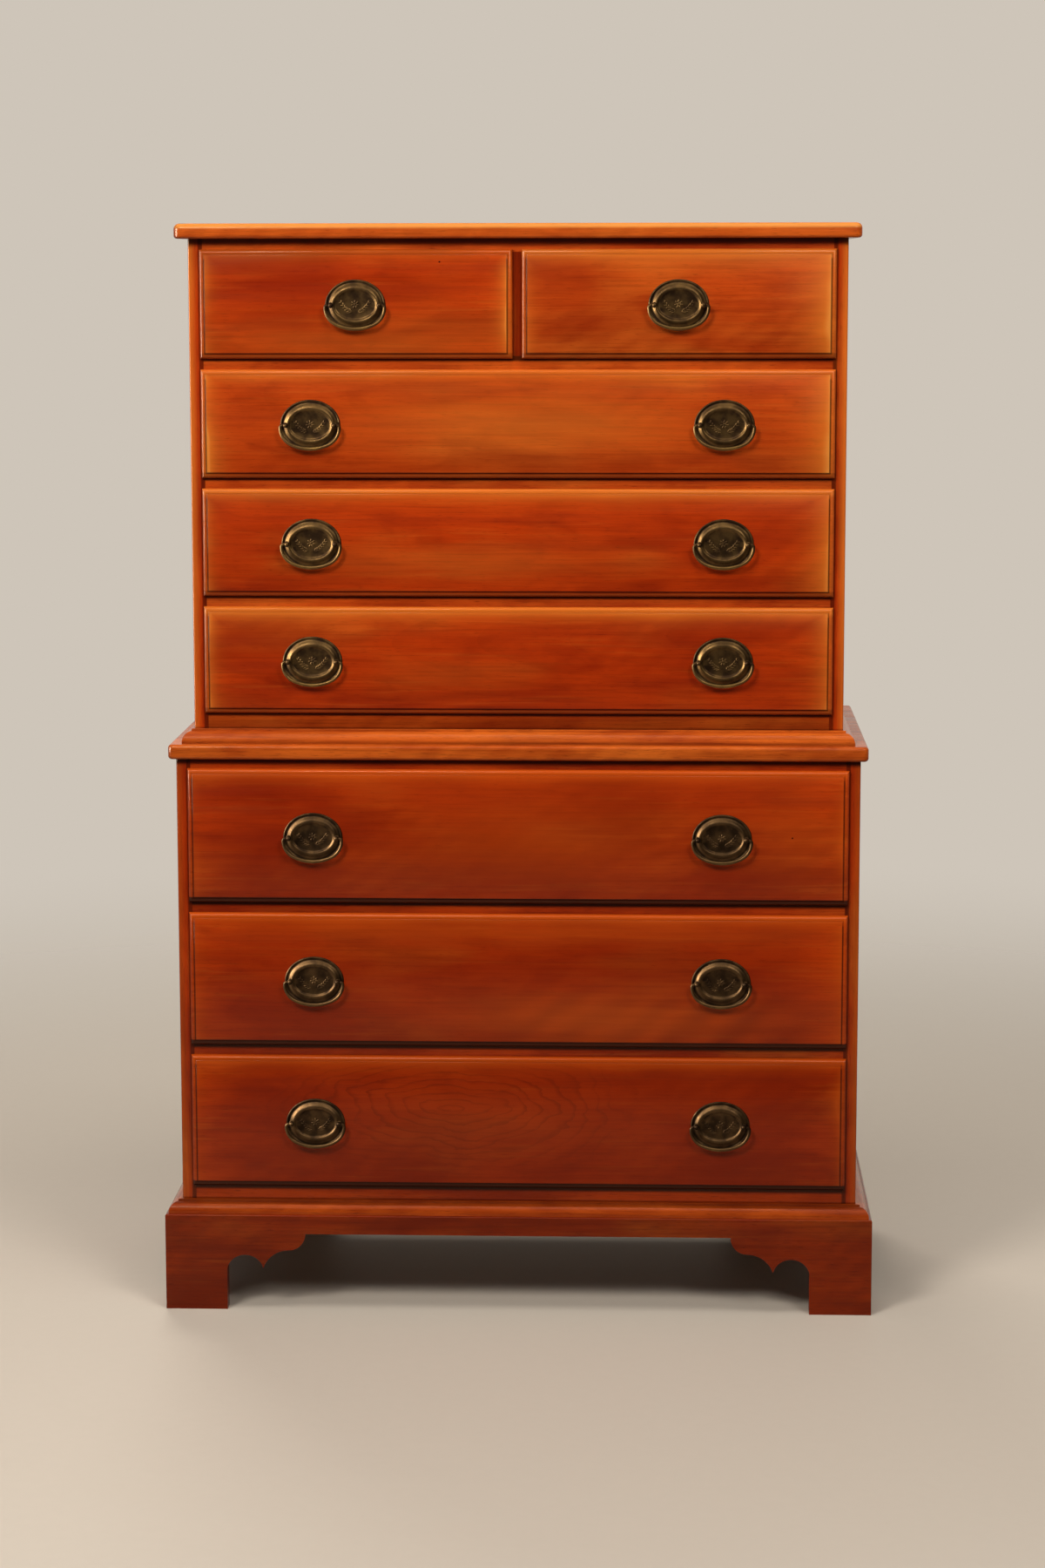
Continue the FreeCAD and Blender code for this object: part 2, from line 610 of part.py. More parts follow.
def make_bracket_base():
    """Scrolled bracket boards round the front and sides, rear braces and glue blocks."""
    length = "(lower_width + 2 * plinth_thickness)"
    front = new_body("bracket_front", "-lower_half - plinth_thickness", "lower_face_y", 0)
    pad(front, draw(sketch_on(front, "XZ_Plane"), *bracket_outline(length)), "plinth_thickness")
    mitre_front(front, length, "plinth_thickness", "plinth_height")
    round_edges(front, "plinth_round", lambda edge: (
        in_plane(edge, "Z", "plinth_height") and in_plane(edge, "Y", "-plinth_thickness")))
    node("front_bracket_base", front)
    depth = "(lower_depth + plinth_thickness)"
    side = new_body("bracket_side", "lower_half", "lower_face_y - plinth_thickness", 0)
    pad(side, draw(sketch_on(side, "YZ_Plane"), *bracket_outline(depth)), "plinth_thickness")
    mitre_side(side, "plinth_thickness", "plinth_height")
    round_edges(side, "plinth_round", lambda edge: (
        in_plane(edge, "Z", "plinth_height") and in_plane(edge, "X", "plinth_thickness")))
    node("right_bracket_base", side)
    node("left_bracket_base", mirrored("bracket_side_mirror", side))
    brace_y = ("back_y - rear_brace_thickness", "back_y")
    braces = []
    blocks = []
    front_y = ("lower_face_y", "lower_face_y + glue_block")
    rear_y = (f"{brace_y[0]} - glue_block", brace_y[0])
    block_z = ("glue_block_lift", "lower_base_z")
    for hand in ("right", "left"):
        brace_x = ("lower_half - rear_brace_length", "lower_half")
        block_x = ("lower_half - glue_block", "lower_half")
        if hand == "left":
            brace_x = [f"-({words})" for words in reversed(brace_x)]
            block_x = [f"-({words})" for words in reversed(block_x)]
        braces.append(box(f"rear_brace_{hand}", brace_x, brace_y, (0, "lower_base_z")))
        blocks.append(box(f"front_block_{hand}", block_x, front_y, block_z))
        blocks.append(box(f"rear_block_{hand}", block_x, rear_y, block_z))
    node("rear_bracket_braces", gather("brace_group", braces))
    node("foot_glue_blocks", gather("block_group", blocks))


class DrawerKind:
    """Sizes that drawers of one kind share, as sums of aliases."""

    def __init__(self, name, half, height, length, tails, pulls):
        self.name = name
        self.half = half
        self.height = height
        self.length = length
        self.tails = tails
        self.pulls = pulls
        self.wood_half = f"({half} - drawer_fit)"
        self.inner_half = f"({half} - drawer_fit - box_side_thickness)"
        self.side_top = f"({height} - box_top_gap)"
        self.pull_z = f"({height} / 2 - pull_drop)"

    def tail_corners(self, index):
        """Corners of one dovetail, seen along X, from its upper to its lower root."""
        pitch = f"({self.side_top} - runner_fit) / {self.tails}"
        middle = f"runner_fit + {pitch} * {2 * index + 1} / 2"
        half = f"{pitch} * tail_width_share / 2"
        tip = "front_core - tail_length"
        return [
            ("front_core", f"{middle} + {half}"), (tip, f"{middle} + {half} + tail_flare"),
            (tip, f"{middle} - {half} - tail_flare"), ("front_core", f"{middle} - {half}"),
        ]


SMALL = DrawerKind("small", "small_opening_width / 2", "upper_opening_height", "upper_box_length",
                   UPPER_TAILS, {"": 0})
UPPER = DrawerKind("upper", "upper_inner_half", "upper_opening_height", "upper_box_length",
                   UPPER_TAILS, {"_left": "-upper_pull_x", "_right": "upper_pull_x"})
LOWER = DrawerKind("lower", "lower_inner_half", "lower_opening_height", "lower_box_length",
                   LOWER_TAILS, {"_left": "-lower_pull_x", "_right": "lower_pull_x"})

# Drawers: name, kind, middle of the opening, front frame, floor of the opening
DRAWERS = (
    ("top_left", SMALL, "-small_drawer_x", "upper_face_y", "top_row_z"),
    ("top_right", SMALL, "small_drawer_x", "upper_face_y", "top_row_z"),
    ("upper_first", UPPER, 0, "upper_face_y", "upper_opening_z + 2 * upper_pitch"),
    ("upper_second", UPPER, 0, "upper_face_y", "upper_opening_z + upper_pitch"),
    ("upper_third", UPPER, 0, "upper_face_y", "upper_opening_z"),
    ("lower_first", LOWER, 0, "lower_face_y", "lower_opening_z + 2 * lower_pitch"),
    ("lower_second", LOWER, 0, "lower_face_y", "lower_opening_z + lower_pitch"),
    ("lower_third", LOWER, 0, "lower_face_y", "lower_opening_z"),
)


def drawer_front(kind):
    """A lipped drawer front about the middle of its opening, at the plane of the front frame."""
    front = new_body(f"{kind.name}_front")
    lip_plane = "lip_clearance"
    lip_half = f"{kind.half} + lip_overlay"
    lip_z = ("-lip_overlay", f"{kind.height} + lip_overlay")
    lip = rectangle(sketch_on(front, "XZ_Plane", lip_plane), (f"-({lip_half})", lip_half), lip_z)
    pad(front, lip, "lip_thickness")
    lip_face = "-lip_clearance - lip_thickness"
    round_edges(front, "lip_round", lambda edge: in_plane(edge, "Y", lip_face))
    field_half = f"{lip_half} - field_inset"
    field_z = (f"{lip_z[0]} + field_inset", f"{lip_z[1]} - field_inset")
    field = rectangle(sketch_on(front, "XZ_Plane", lip_plane), (f"-({field_half})", field_half), field_z)
    pad(front, field, "lip_thickness + field_step")
    round_edges(front, "field_round", lambda edge: in_plane(edge, "Y", "-field_rise"))
    core_z = ("drawer_fit", f"{kind.height} - drawer_fit")
    core_x = (f"-{kind.wood_half}", kind.wood_half)
    core = rectangle(sketch_on(front, "XZ_Plane", lip_plane), core_x, core_z)
    pad(front, core, "lip_clearance + front_core", reverse=True)
    for plane, reverse in ((f"-{kind.wood_half}", True), (kind.wood_half, False)):
        for index in range(kind.tails):
            socket = draw(sketch_on(front, "YZ_Plane", plane), kind.tail_corners(index))
            pocket(front, socket, "box_side_thickness", reverse=reverse)
    groove_z = ("box_bottom_z", "box_bottom_z + box_bottom_thickness")
    groove_x = (f"-{kind.inner_half}", kind.inner_half)
    groove = rectangle(sketch_on(front, "XZ_Plane", "-front_core"), groove_x, groove_z)
    pocket(front, groove, "groove_depth", reverse=True)
    holes = sketch_on(front, "XZ_Plane", "field_rise + overrun")
    for middle in kind.pulls.values():
        for sign in ("-", "+"):
            circle(holes, "post_radius + post_fit", f"{middle} {sign} post_offset", kind.pull_z)
    pocket(front, holes, "front_thickness + 2 * overrun")
    return front


def drawer_box(kind):
    """Two dovetailed sides, the back and the bottom panel of a drawer, as separate boards."""
    side = new_body(f"{kind.name}_box_side", kind.inner_half)
    edge = [("front_core", "runner_fit"), (kind.length, "runner_fit"), (kind.length, kind.side_top),
            ("front_core", kind.side_top)]
    for index in reversed(range(kind.tails)):
        edge += kind.tail_corners(index)
    pad(side, draw(sketch_on(side, "YZ_Plane"), edge), "box_side_thickness")
    bottom_z = ("box_bottom_z", "box_bottom_z + box_bottom_thickness")
    groove = rectangle(sketch_on(side, "YZ_Plane"), ("front_core", kind.length), bottom_z)
    pocket(side, groove, "groove_depth", reverse=True)
    other = mirrored(f"{kind.name}_box_mirror", side)
    back = box(f"{kind.name}_box_back", (f"-{kind.inner_half}", kind.inner_half),
               (f"{kind.length} - box_back_thickness", kind.length),
               (bottom_z[1], f"{kind.side_top} - box_back_drop"))
    bottom = new_body(f"{kind.name}_box_bottom", 0, 0, bottom_z[0])
    wide = f"{kind.inner_half} + groove_depth"
    tongue = "front_core - groove_depth"
    plan = [
        (f"-{kind.inner_half}", tongue), (kind.inner_half, tongue), (kind.inner_half, "front_core"),
        (wide, "front_core"), (wide, kind.length), (f"-({wide})", kind.length),
        (f"-({wide})", "front_core"), (f"-{kind.inner_half}", "front_core"),
    ]
    pad(bottom, draw(sketch_on(bottom, "XY_Plane"), plan), "box_bottom_thickness")
    return [side, other, back, bottom]


def pull_plate():
    """An oval plate with a rim bead, a raised ring and a dished middle, drilled for its posts."""
    rings = []
    for width_share, height_share, rise_share in PLATE_RING_SHARES:
        ring = doc.addObject("Part::Ellipse", f"plate_ring_{len(rings)}")
        ring.setExpression("MajorRadius", expression(f"plate_width * {width_share} / 2"))
        ring.setExpression("MinorRadius", expression(f"plate_height * {height_share} / 2"))
        ring.Placement = FreeCAD.Placement(FreeCAD.Vector(), FreeCAD.Rotation(FreeCAD.Vector(1, 0, 0), 90))
        rings.append(place(ring, y=f"-plate_rise * {rise_share}"))
    blank = doc.addObject("Part::Loft", "plate_blank")
    blank.Sections = rings
    blank.Solid = True
    blank.Ruled = True
    holes = [
        rod(f"plate_hole_{hand}", (0, -1, 0), "post_radius + post_fit", "plate_rise + 2 * overrun",
            f"{sign}post_offset", "overrun", 0)
        for hand, sign in (("left", "-"), ("right", ""))
    ]
    return cut("plate", blank, holes)


def pull_post():
    """A post with a ball head that is bored for the bail's pin."""
    stem = rod("post_stem", (0, -1, 0), "post_radius",
               "front_thickness + nut_height + post_tail + pivot_standoff",
               "post_offset", "front_thickness + nut_height + post_tail", 0)
    ball = doc.addObject("Part::Sphere", "post_ball")
    ball.setExpression("Radius", expression("ball_radius"))
    place(ball, "post_offset", "-pivot_standoff", 0)
    bore = rod("post_bore", (1, 0, 0), "bail_pin_radius + bail_pin_fit", "2 * (ball_radius + overrun)",
               "post_offset - ball_radius - overrun", "-pivot_standoff", 0)
    return cut("post", fuse("post_blank", [stem, ball]), [bore])


def pull_nut():
    """A nut on the end of a post, inside the drawer."""
    blank = doc.addObject("Part::Prism", "nut_blank")
    blank.Polygon = NUT_SIDES
    blank.setExpression("Circumradius", expression("nut_radius"))
    blank.setExpression("Height", expression("nut_height"))
    turn = FreeCAD.Rotation(FreeCAD.Vector(0, 0, 1), FreeCAD.Vector(0, 1, 0))
    blank.Placement = FreeCAD.Placement(FreeCAD.Vector(), turn)
    place(blank, "post_offset", "front_thickness", 0)
    hole = rod("nut_hole", (0, 1, 0), "post_radius + post_fit", "nut_height + 2 * overrun",
               "post_offset", "front_thickness - overrun", 0)
    return cut("nut", blank, [hole])


def pull_bail():
    """A bail that hangs from two pins, bent round to a broad curve below."""
    bail = new_body("bail", 0, "-pivot_standoff", 0)
    left = [
        ("-bail_start", 0), ("-bail_half_width", "-bail_bend_radius"),
        ("-bail_tangent_x", "bail_tangent_z"),
    ]
    right = [(f"-({x})", z) for x, z in reversed(left)]
    radii = ("bail_bend_radius", "bail_side_radius", "bail_base_radius", "bail_side_radius",
             "bail_bend_radius")
    arcs = {first: (radius, -1) for first, radius in enumerate(radii)}
    spine = draw(sketch_on(bail, "XZ_Plane"), left + right, arcs, closed=False)
    section = circle(sketch_on(bail, "YZ_Plane", "-bail_start"), "bail_rod_radius", 0, 0)
    doc.recompute()
    hoop = bail.newObject("PartDesign::AdditivePipe", "bail_hoop")
    hoop.Profile = section
    hoop.Spine = (spine, [f"Edge{index}" for index in range(1, len(radii) + 1)])
    for plane, reverse in (("-bail_start", False), ("bail_start", True)):
        pin_end = circle(sketch_on(bail, "YZ_Plane", plane), "bail_pin_radius", 0, 0)
        pad(bail, pin_end, "bail_pin_length", reverse=reverse)
    return bail


def make_drawers():
    """All drawers with their pulls: each kind is made once and set into its openings."""
    plate = pull_plate()
    post = pull_post()
    nut = pull_nut()
    hardware = [plate, post, mirrored("post_mirror", post), nut, mirrored("nut_mirror", nut)]
    bail = pull_bail()
    fronts = {kind: drawer_front(kind) for kind in (SMALL, UPPER, LOWER)}
    boxes = {kind: drawer_box(kind) for kind in (SMALL, UPPER, LOWER)}
    for name, kind, x, y, z in DRAWERS:
        node(f"{name}_drawer_front", gather(f"{name}_front_copy", [fronts[kind]], x, y, z))
        node(f"{name}_drawer_box", gather(f"{name}_box_copy", boxes[kind], x, y, z))
        sets = []
        for hand, middle in kind.pulls.items():
            spot = (f"{x} + {middle}", f"{y} - field_rise", f"{z} + {kind.pull_z}")
            sets.append(gather(f"{name}_hardware{hand}", hardware, *spot))
            node(f"{name}_bail{hand}", gather(f"{name}_bail_copy{hand}", [bail], *spot))
        node(f"{name}_pull_hardware", gather(f"{name}_hardware_group", sets))


def main():
    """Builds every piece, tests it and writes it."""
    fill_sheets()
    make_sides("lower", "lower_half", "lower_depth", "lower_face_y", "lower_base_z", "waist_board_z",
               LOWER_RAILS)
    make_rails("lower", "lower_inner_half", "lower_face_y", LOWER_RAILS)
    make_inside("lower", "lower_inner_half", "lower_face_y", "lower_base_z", LOWER_RAILS)
    make_sides("upper", "upper_half", "upper_depth", "upper_face_y", "upper_base_z", "top_board_z",
               UPPER_RAILS)
    make_rails("upper", "upper_inner_half", "upper_face_y", UPPER_RAILS)
    make_inside("upper", "upper_inner_half", "upper_face_y", "upper_base_z", UPPER_RAILS)
    make_partition()
    make_board("waist_board", "lower_half", "lower_face_y", "waist_board_overhang", "waist_board_z",
               "waist_board_thickness", "waist_board_round", "waist_board_round")
    make_board("top_board", "upper_half", "upper_face_y", "top_board_overhang", "top_board_z",
               "top_board_thickness", "top_board_upper_round", "top_board_lower_round")
    make_moulding("base", "lower_half", "lower_face_y", "plinth_height")
    make_moulding("waist", "upper_half", "upper_face_y", "upper_base_z")
    make_bracket_base()
    make_drawers()
    doc.recompute()
    for item in doc.Objects:
        if "Invalid" in item.State or "Error" in item.State:
            raise RuntimeError(f"{item.Label} did not build: {item.State}")
    os.makedirs("parts", exist_ok=True)
    for name, piece in nodes.items():
        if piece.Shape.isNull() or not piece.Shape.isValid():
            raise RuntimeError(f"{name} has no sound shape")
    for name, piece in nodes.items():
        piece.Shape.exportStep(f"parts/{name}.step")
        print(f"{name}: {len(piece.Shape.Solids)} solids, {piece.Shape.Volume:.0f} cubic mm")


main()
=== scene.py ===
"""The looks of a chest on chest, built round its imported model.

Lengths are metres in the model's own frame: X runs to the viewer's right, the front faces -Y and
Z points up. Each class below is one sub-assembly or one finish.
"""
import logging
import math
from collections.abc import Callable, Iterator, Sequence
from contextlib import contextmanager
from dataclasses import dataclass, field, fields
from enum import Enum
from functools import reduce

import bmesh
import bpy
from mathutils import Matrix, Vector


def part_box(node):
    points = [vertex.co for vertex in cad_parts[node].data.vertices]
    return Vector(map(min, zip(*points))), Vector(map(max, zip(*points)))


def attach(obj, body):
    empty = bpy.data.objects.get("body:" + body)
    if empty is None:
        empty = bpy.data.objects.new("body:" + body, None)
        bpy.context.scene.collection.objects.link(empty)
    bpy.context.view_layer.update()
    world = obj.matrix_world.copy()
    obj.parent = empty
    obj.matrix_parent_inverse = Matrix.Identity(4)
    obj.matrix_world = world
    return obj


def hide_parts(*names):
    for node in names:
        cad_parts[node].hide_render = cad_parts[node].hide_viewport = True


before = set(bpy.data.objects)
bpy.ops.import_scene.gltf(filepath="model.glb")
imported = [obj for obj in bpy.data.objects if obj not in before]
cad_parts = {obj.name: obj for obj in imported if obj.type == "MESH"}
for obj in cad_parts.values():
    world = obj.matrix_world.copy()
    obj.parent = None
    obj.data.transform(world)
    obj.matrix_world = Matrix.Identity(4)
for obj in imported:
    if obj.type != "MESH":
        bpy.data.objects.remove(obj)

LOG = logging.getLogger("chest_on_chest")
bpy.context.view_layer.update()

Triple = tuple[float, float, float]
Colour = Triple
Socket = bpy.types.NodeSocket
Material = bpy.types.Material
Piece = bpy.types.Object
Number = float | Socket
BoundsTest = Callable[[Vector, Vector], bool]

MM = 0.001
# Closer than this, two points count as lying in one plane
SAME_PLANE = 0.00002
# How far a cutting block runs past the wood that it cuts
OVERRUN = 0.001
# Faces that meet at a smaller angle than this are shaded as one round surface
ROUND_ANGLE = math.radians(34)


def tone(red: int, green: int, blue: int) -> Colour:
    """Turns a colour as a screen shows it into linear light.

    Args:
        red, green, blue: the screen's values, 0 to 255.

    Returns:
        The same colour as shader sockets take it.
    """
    shares = (red / 255, green / 255, blue / 255)
    return tuple(share / 12.92 if share <= 0.04045 else ((share + 0.055) / 1.055) ** 2.4 for share in shares)


def between(first: float, last: float, share: float) -> float:
    """Returns the value that lies a share of the way from the first to the last."""
    return first + (last - first) * share


# Modelling steps that the pieces share


class Part(Enum):
    """The kinds of mesh element that can be chosen in edit mode."""

    VERTEX = "VERT"
    EDGE = "EDGE"
    FACE = "FACE"


class Axis(Enum):
    """The three axes, as places in a vector."""

    X = 0
    Y = 1
    Z = 2


def flat(low: Vector, high: Vector, axis: Axis, plane: float) -> bool:
    """Tells whether an element lies in one plane.

    Args:
        low, high: corners of the element's own bounds.
        axis: the axis that the plane stands across.
        plane: the plane's place along it.

    Returns:
        True where the whole element lies there.
    """
    place = axis.value
    return abs(low[place] - plane) < SAME_PLANE and abs(high[place] - plane) < SAME_PLANE


def pick(*pieces: Piece) -> None:
    """Selects these pieces and nothing else.

    Args:
        pieces: what is selected, the active one first.
    """
    bpy.ops.object.select_all(action="DESELECT")
    for piece in pieces:
        piece.select_set(True)
    bpy.context.view_layer.objects.active = pieces[0]


@contextmanager
def editing(piece: Piece) -> Iterator[None]:
    """Opens a piece in edit mode with nothing selected, and closes it again.

    Args:
        piece: what is edited.

    Returns:
        The context in which it is open.
    """
    pick(piece)
    bpy.ops.object.mode_set(mode="EDIT")
    bpy.ops.mesh.select_all(action="DESELECT")
    yield
    bpy.ops.object.mode_set(mode="OBJECT")


def choose(kind: Part, test: BoundsTest) -> None:
    """Selects those elements of the mesh in edit mode whose bounds pass a test.

    Args:
        kind: vertices, edges or faces.
        test: takes the low and the high corner of an element's bounds.
    """
    bpy.ops.mesh.select_all(action="DESELECT")
    bpy.ops.mesh.select_mode(type=kind.value)
    mesh = bmesh.from_edit_mesh(bpy.context.edit_object.data)
    found = False
    for item in {Part.VERTEX: mesh.verts, Part.EDGE: mesh.edges, Part.FACE: mesh.faces}[kind]:
        points = [item.co] if kind is Part.VERTEX else [vertex.co for vertex in item.verts]
        low = Vector(map(min, zip(*points)))
        high = Vector(map(max, zip(*points)))
        if test(low, high):
            item.select_set(True)
            found = True
    mesh.select_flush_mode()
    bmesh.update_edit_mesh(bpy.context.edit_object.data)
    if not found:
        raise ValueError(f"{bpy.context.edit_object.name}: no {kind.value.lower()} passes the test")


def settle(piece: Piece) -> Piece:
    """Puts a piece's place, turn and size into its mesh.

    Args:
        piece: what is settled.

    Returns:
        The same piece.
    """
    pick(piece)
    bpy.ops.object.transform_apply(location=True, rotation=True, scale=True)
    return piece


def named(name: str, scale: Sequence[float] = (1, 1, 1)) -> Piece:
    """Names and scales the mesh that was just added, and settles it.

    Args:
        name: its name.
        scale: its scale along each axis.

    Returns:
        The new piece.
    """
    piece = bpy.context.object
    piece.name = name
    piece.data.name = name
    piece.scale = scale
    return settle(piece)


def block(name: str, low: Sequence[float], high: Sequence[float]) -> Piece:
    """Adds a square block.

    Args:
        name: the block's name.
        low, high: its opposite corners.

    Returns:
        The new block.
    """
    low, high = Vector(low), Vector(high)
    bpy.ops.object.select_all(action="DESELECT")
    bpy.ops.mesh.primitive_cube_add(size=1, location=(low + high) / 2)
    return named(name, high - low)


def bevel(width: float, segments: int) -> None:
    """Rounds the chosen edges."""
    bpy.ops.mesh.bevel(
        offset=width, offset_type="OFFSET", segments=segments, affect="EDGES", clamp_overlap=False)


def extrude(step: Sequence[float]) -> None:
    """Pulls the chosen faces out along a step."""
    bpy.ops.mesh.extrude_region_move(TRANSFORM_OT_translate={"value": step})


def resize(factors: Sequence[float], centre: Sequence[float]) -> None:
    """Scales what is chosen about a centre."""
    bpy.ops.transform.resize(value=factors, center_override=centre)


def join(name: str, pieces: Sequence[Piece]) -> Piece:
    """Makes several meshes one piece.

    Args:
        name: the whole piece's name.
        pieces: what it is made of, used up.

    Returns:
        The joined piece.
    """
    pick(*pieces)
    if len(pieces) > 1:
        bpy.ops.object.join()
    return named(name)


def copied(piece: Piece, name: str, step: Vector) -> Piece:
    """Copies a piece with a mesh of its own.

    Args:
        piece: what is copied.
        name: the copy's name.
        step: how far the copy stands from it.

    Returns:
        The copy.
    """
    pick(piece)
    bpy.ops.object.duplicate(linked=False)
    bpy.context.object.location = step
    return named(name)


def carve(piece: Piece, cutter: Piece) -> None:
    """Cuts a closed block out of a piece and throws the block away.

    Args:
        piece: what is cut.
        cutter: the block.
    """
    pick(piece)
    step = piece.modifiers.new("carve", "BOOLEAN")
    step.operation = "DIFFERENCE"
    step.solver = "EXACT"
    step.object = cutter
    bpy.ops.object.modifier_apply(modifier=step.name)
    bpy.data.objects.remove(cutter)


def round_shade(piece: Piece, angle: float = ROUND_ANGLE) -> None:
    """Shades a piece's gentle bends as round surfaces."""
    pick(piece)
    bpy.ops.object.shade_smooth_by_angle(angle=angle)


def wear(piece: Piece, rule: Callable[[Vector], float]) -> None:
    """Stores on each point how far its patina is rubbed off.

    Args:
        piece: the metal piece.
        rule: takes a point and gives 0 for dark patina to 1 for bright metal.
    """
    rubbed = piece.data.attributes.new("wear", "FLOAT", "POINT")
    rubbed.data.foreach_set("value", [rule(vertex.co) for vertex in piece.data.vertices])


def seat(piece: Piece, body: str, slot: str, material: Material | None, *nodes: str) -> None:
    """Dresses a new piece, makes it ride on its body and lets it stand for nodes of the model.

    Args:
        piece: the new piece.
        body: the body that it moves with.
        slot: not used.
        material: its finish, or None where its faces have theirs already.
        nodes: the nodes that it stands for.
    """
    if material is not None:
        piece.data.materials.clear()
        piece.data.materials.append(material)
    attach(piece, body)
    if nodes:
        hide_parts(*nodes)
    LOG.info("%s: %d faces on %s", piece.name, len(piece.data.polygons), body)


def dress(node: str, material: Material) -> None:
    """Gives a node of the model its finish.

    Args:
        node: the node's name.
        material: the finish.
    """
    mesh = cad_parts[node].data
    mesh.materials.clear()
    mesh.materials.append(material)
    LOG.info("%s: dressed with %s", node, material.name)


# Finishes


class Grain(Enum):
    """The way that a board's fibres run, as the turn that lays them along X."""

    ACROSS = (0.0, 0.0, 0.0)
    DEEP = (0.0, 0.0, -math.pi / 2)
    UPRIGHT = (0.0, math.pi / 2, 0.0)


class Graph:
    """One material's nodes, put together as sums of sockets and numbers."""

    def __init__(self, name: str) -> None:
        """Starts a material with its shader and the place of each point on the object.

        Args:
            name: the material's name.
        """
        self.material = bpy.data.materials.new(name)
        self.material.use_nodes = True
        self.nodes = self.material.node_tree.nodes
        self.links = self.material.node_tree.links
        self.shader = self.nodes["Principled BSDF"]
        self.place = self.nodes.new("ShaderNodeTexCoord")
        self.spot = self.place.outputs["Object"]

    def feed(self, socket: Socket, value: object) -> None:
        """Links a socket to another one, or sets its value.

        Args:
            socket: the input that is fed.
            value: another node's output, a number, a vector or a colour.
        """
        if isinstance(value, Socket):
            self.links.new(value, socket)
        elif socket.type == "RGBA" and len(value) == 3:
            socket.default_value = (*value, 1)
        else:
            socket.default_value = value

    def add(self, kind: str, **values: object) -> bpy.types.Node:
        """Adds a node.

        Args:
            kind: its type.
            values: what its inputs get, under their names with _ for a space.

        Returns:
            The new node.
        """
        node = self.nodes.new(kind)
        for name, value in values.items():
            self.feed(node.inputs[name.replace("_", " ")], value)
        return node

    def sum(self, operation: str, *values: Number) -> Socket:
        """Works out a sum of numbers.

        Args:
            operation: the kind of sum, such as ADD or MAXIMUM.
            values: the numbers.

        Returns:
            Its result.
        """
        node = self.nodes.new("ShaderNodeMath")
        node.operation = operation
        for socket, value in zip(node.inputs, values):
            self.feed(socket, value)
        return node.outputs[0]

    def times(self, *values: Number) -> Socket:
        """Returns the product of numbers."""
        return reduce(lambda first, second: self.sum("MULTIPLY", first, second), values)

    def minus(self, first: Number, second: Number) -> Socket:
        """Returns what is left of a number."""
        return self.sum("SUBTRACT", first, second)

    def vector(self, operation: str, *values: object) -> bpy.types.Node:
        """Works out a sum of places.

        Args:
            operation: the kind of sum, such as SUBTRACT or LENGTH.
            values: the places.

        Returns:
            The node that holds its result.
        """
        node = self.nodes.new("ShaderNodeVectorMath")
        node.operation = operation
        for socket, value in zip(node.inputs, values):
            self.feed(socket, value)
        return node

    def less(self, spot: Socket, point: Sequence[float]) -> Socket:
        """Returns places measured from a point."""
        return self.vector("SUBTRACT", spot, point).outputs[0]

    def length(self, spot: Socket) -> Socket:
        """Returns how far a place is from the middle."""
        return self.vector("LENGTH", spot).outputs["Value"]

    def parts(self, spot: Socket) -> Sequence[Socket]:
        """Returns the X, Y and Z of a place."""
        return self.add("ShaderNodeSeparateXYZ", Vector=spot).outputs

    def laid(self, spot: Socket, scale: Triple = (1, 1, 1), turn: Triple = (0, 0, 0)) -> Socket:
        """Returns places that are scaled and then turned."""
        return self.add("ShaderNodeMapping", Vector=spot, Scale=scale, Rotation=turn).outputs[0]

    def noise(self, spot: Socket, scale: float, detail: float = 3, distortion: float = 0) -> Socket:
        """Returns cloudy noise from about 0.2 to 0.8."""
        node = self.add("ShaderNodeTexNoise", Vector=spot, Scale=scale, Detail=detail, Distortion=distortion)
        return node.outputs["Fac"]

    def wave(
        self, spot: Socket, spacing: float, wobble: float, detail: float, fineness: float
    ) -> bpy.types.Node:
        """Adds waves across the X axis.

        Args:
            spot: the places.
            spacing: how far apart the waves are.
            wobble: how far noise bends them.
            detail: how many finer layers that noise has.
            fineness: how many of its clouds lie between two waves.

        Returns:
            The node that draws them.
        """
        return self.add(
            "ShaderNodeTexWave", Vector=spot, Scale=math.pi / 10 / spacing, Distortion=wobble, Detail=detail,
            Detail_Scale=spacing * fineness)

    def rings(self, spot: Socket, spacing: float, wobble: float) -> Socket:
        """Draws growth rings round the X axis.

        Args:
            spot: the places.
            spacing: how far apart the rings are.
            wobble: how far noise bends them.

        Returns:
            A share that rises from 0 to 1 over each ring and starts again.
        """
        node = self.wave(spot, spacing, wobble, 3, 14)
        node.wave_type = "RINGS"
        node.rings_direction = "X"
        node.wave_profile = "SAW"
        return node.outputs["Fac"]

    def bands(self, spot: Socket, spacing: float, wobble: float) -> Socket:
        """Returns soft bands across the X axis."""
        return self.wave(spot, spacing, wobble, 2, 20).outputs["Fac"]

    def contours(self, spot: Socket, spacing: float, wobble: float) -> Socket:
        """Draws ragged rings round the middle, as on a board cut along the rings.

        Args:
            spot: the places.
            spacing: how far apart the rings are.
            wobble: how many spacings noise moves them by.

        Returns:
            A share that rises from 0 to 1 over each ring and starts again.
        """
        away = self.sum("DIVIDE", self.length(spot), spacing)
        drift = self.times(self.noise(spot, 22, 4, 0.4), wobble)
        return self.sum("FRACT", self.sum("ADD", away, drift))

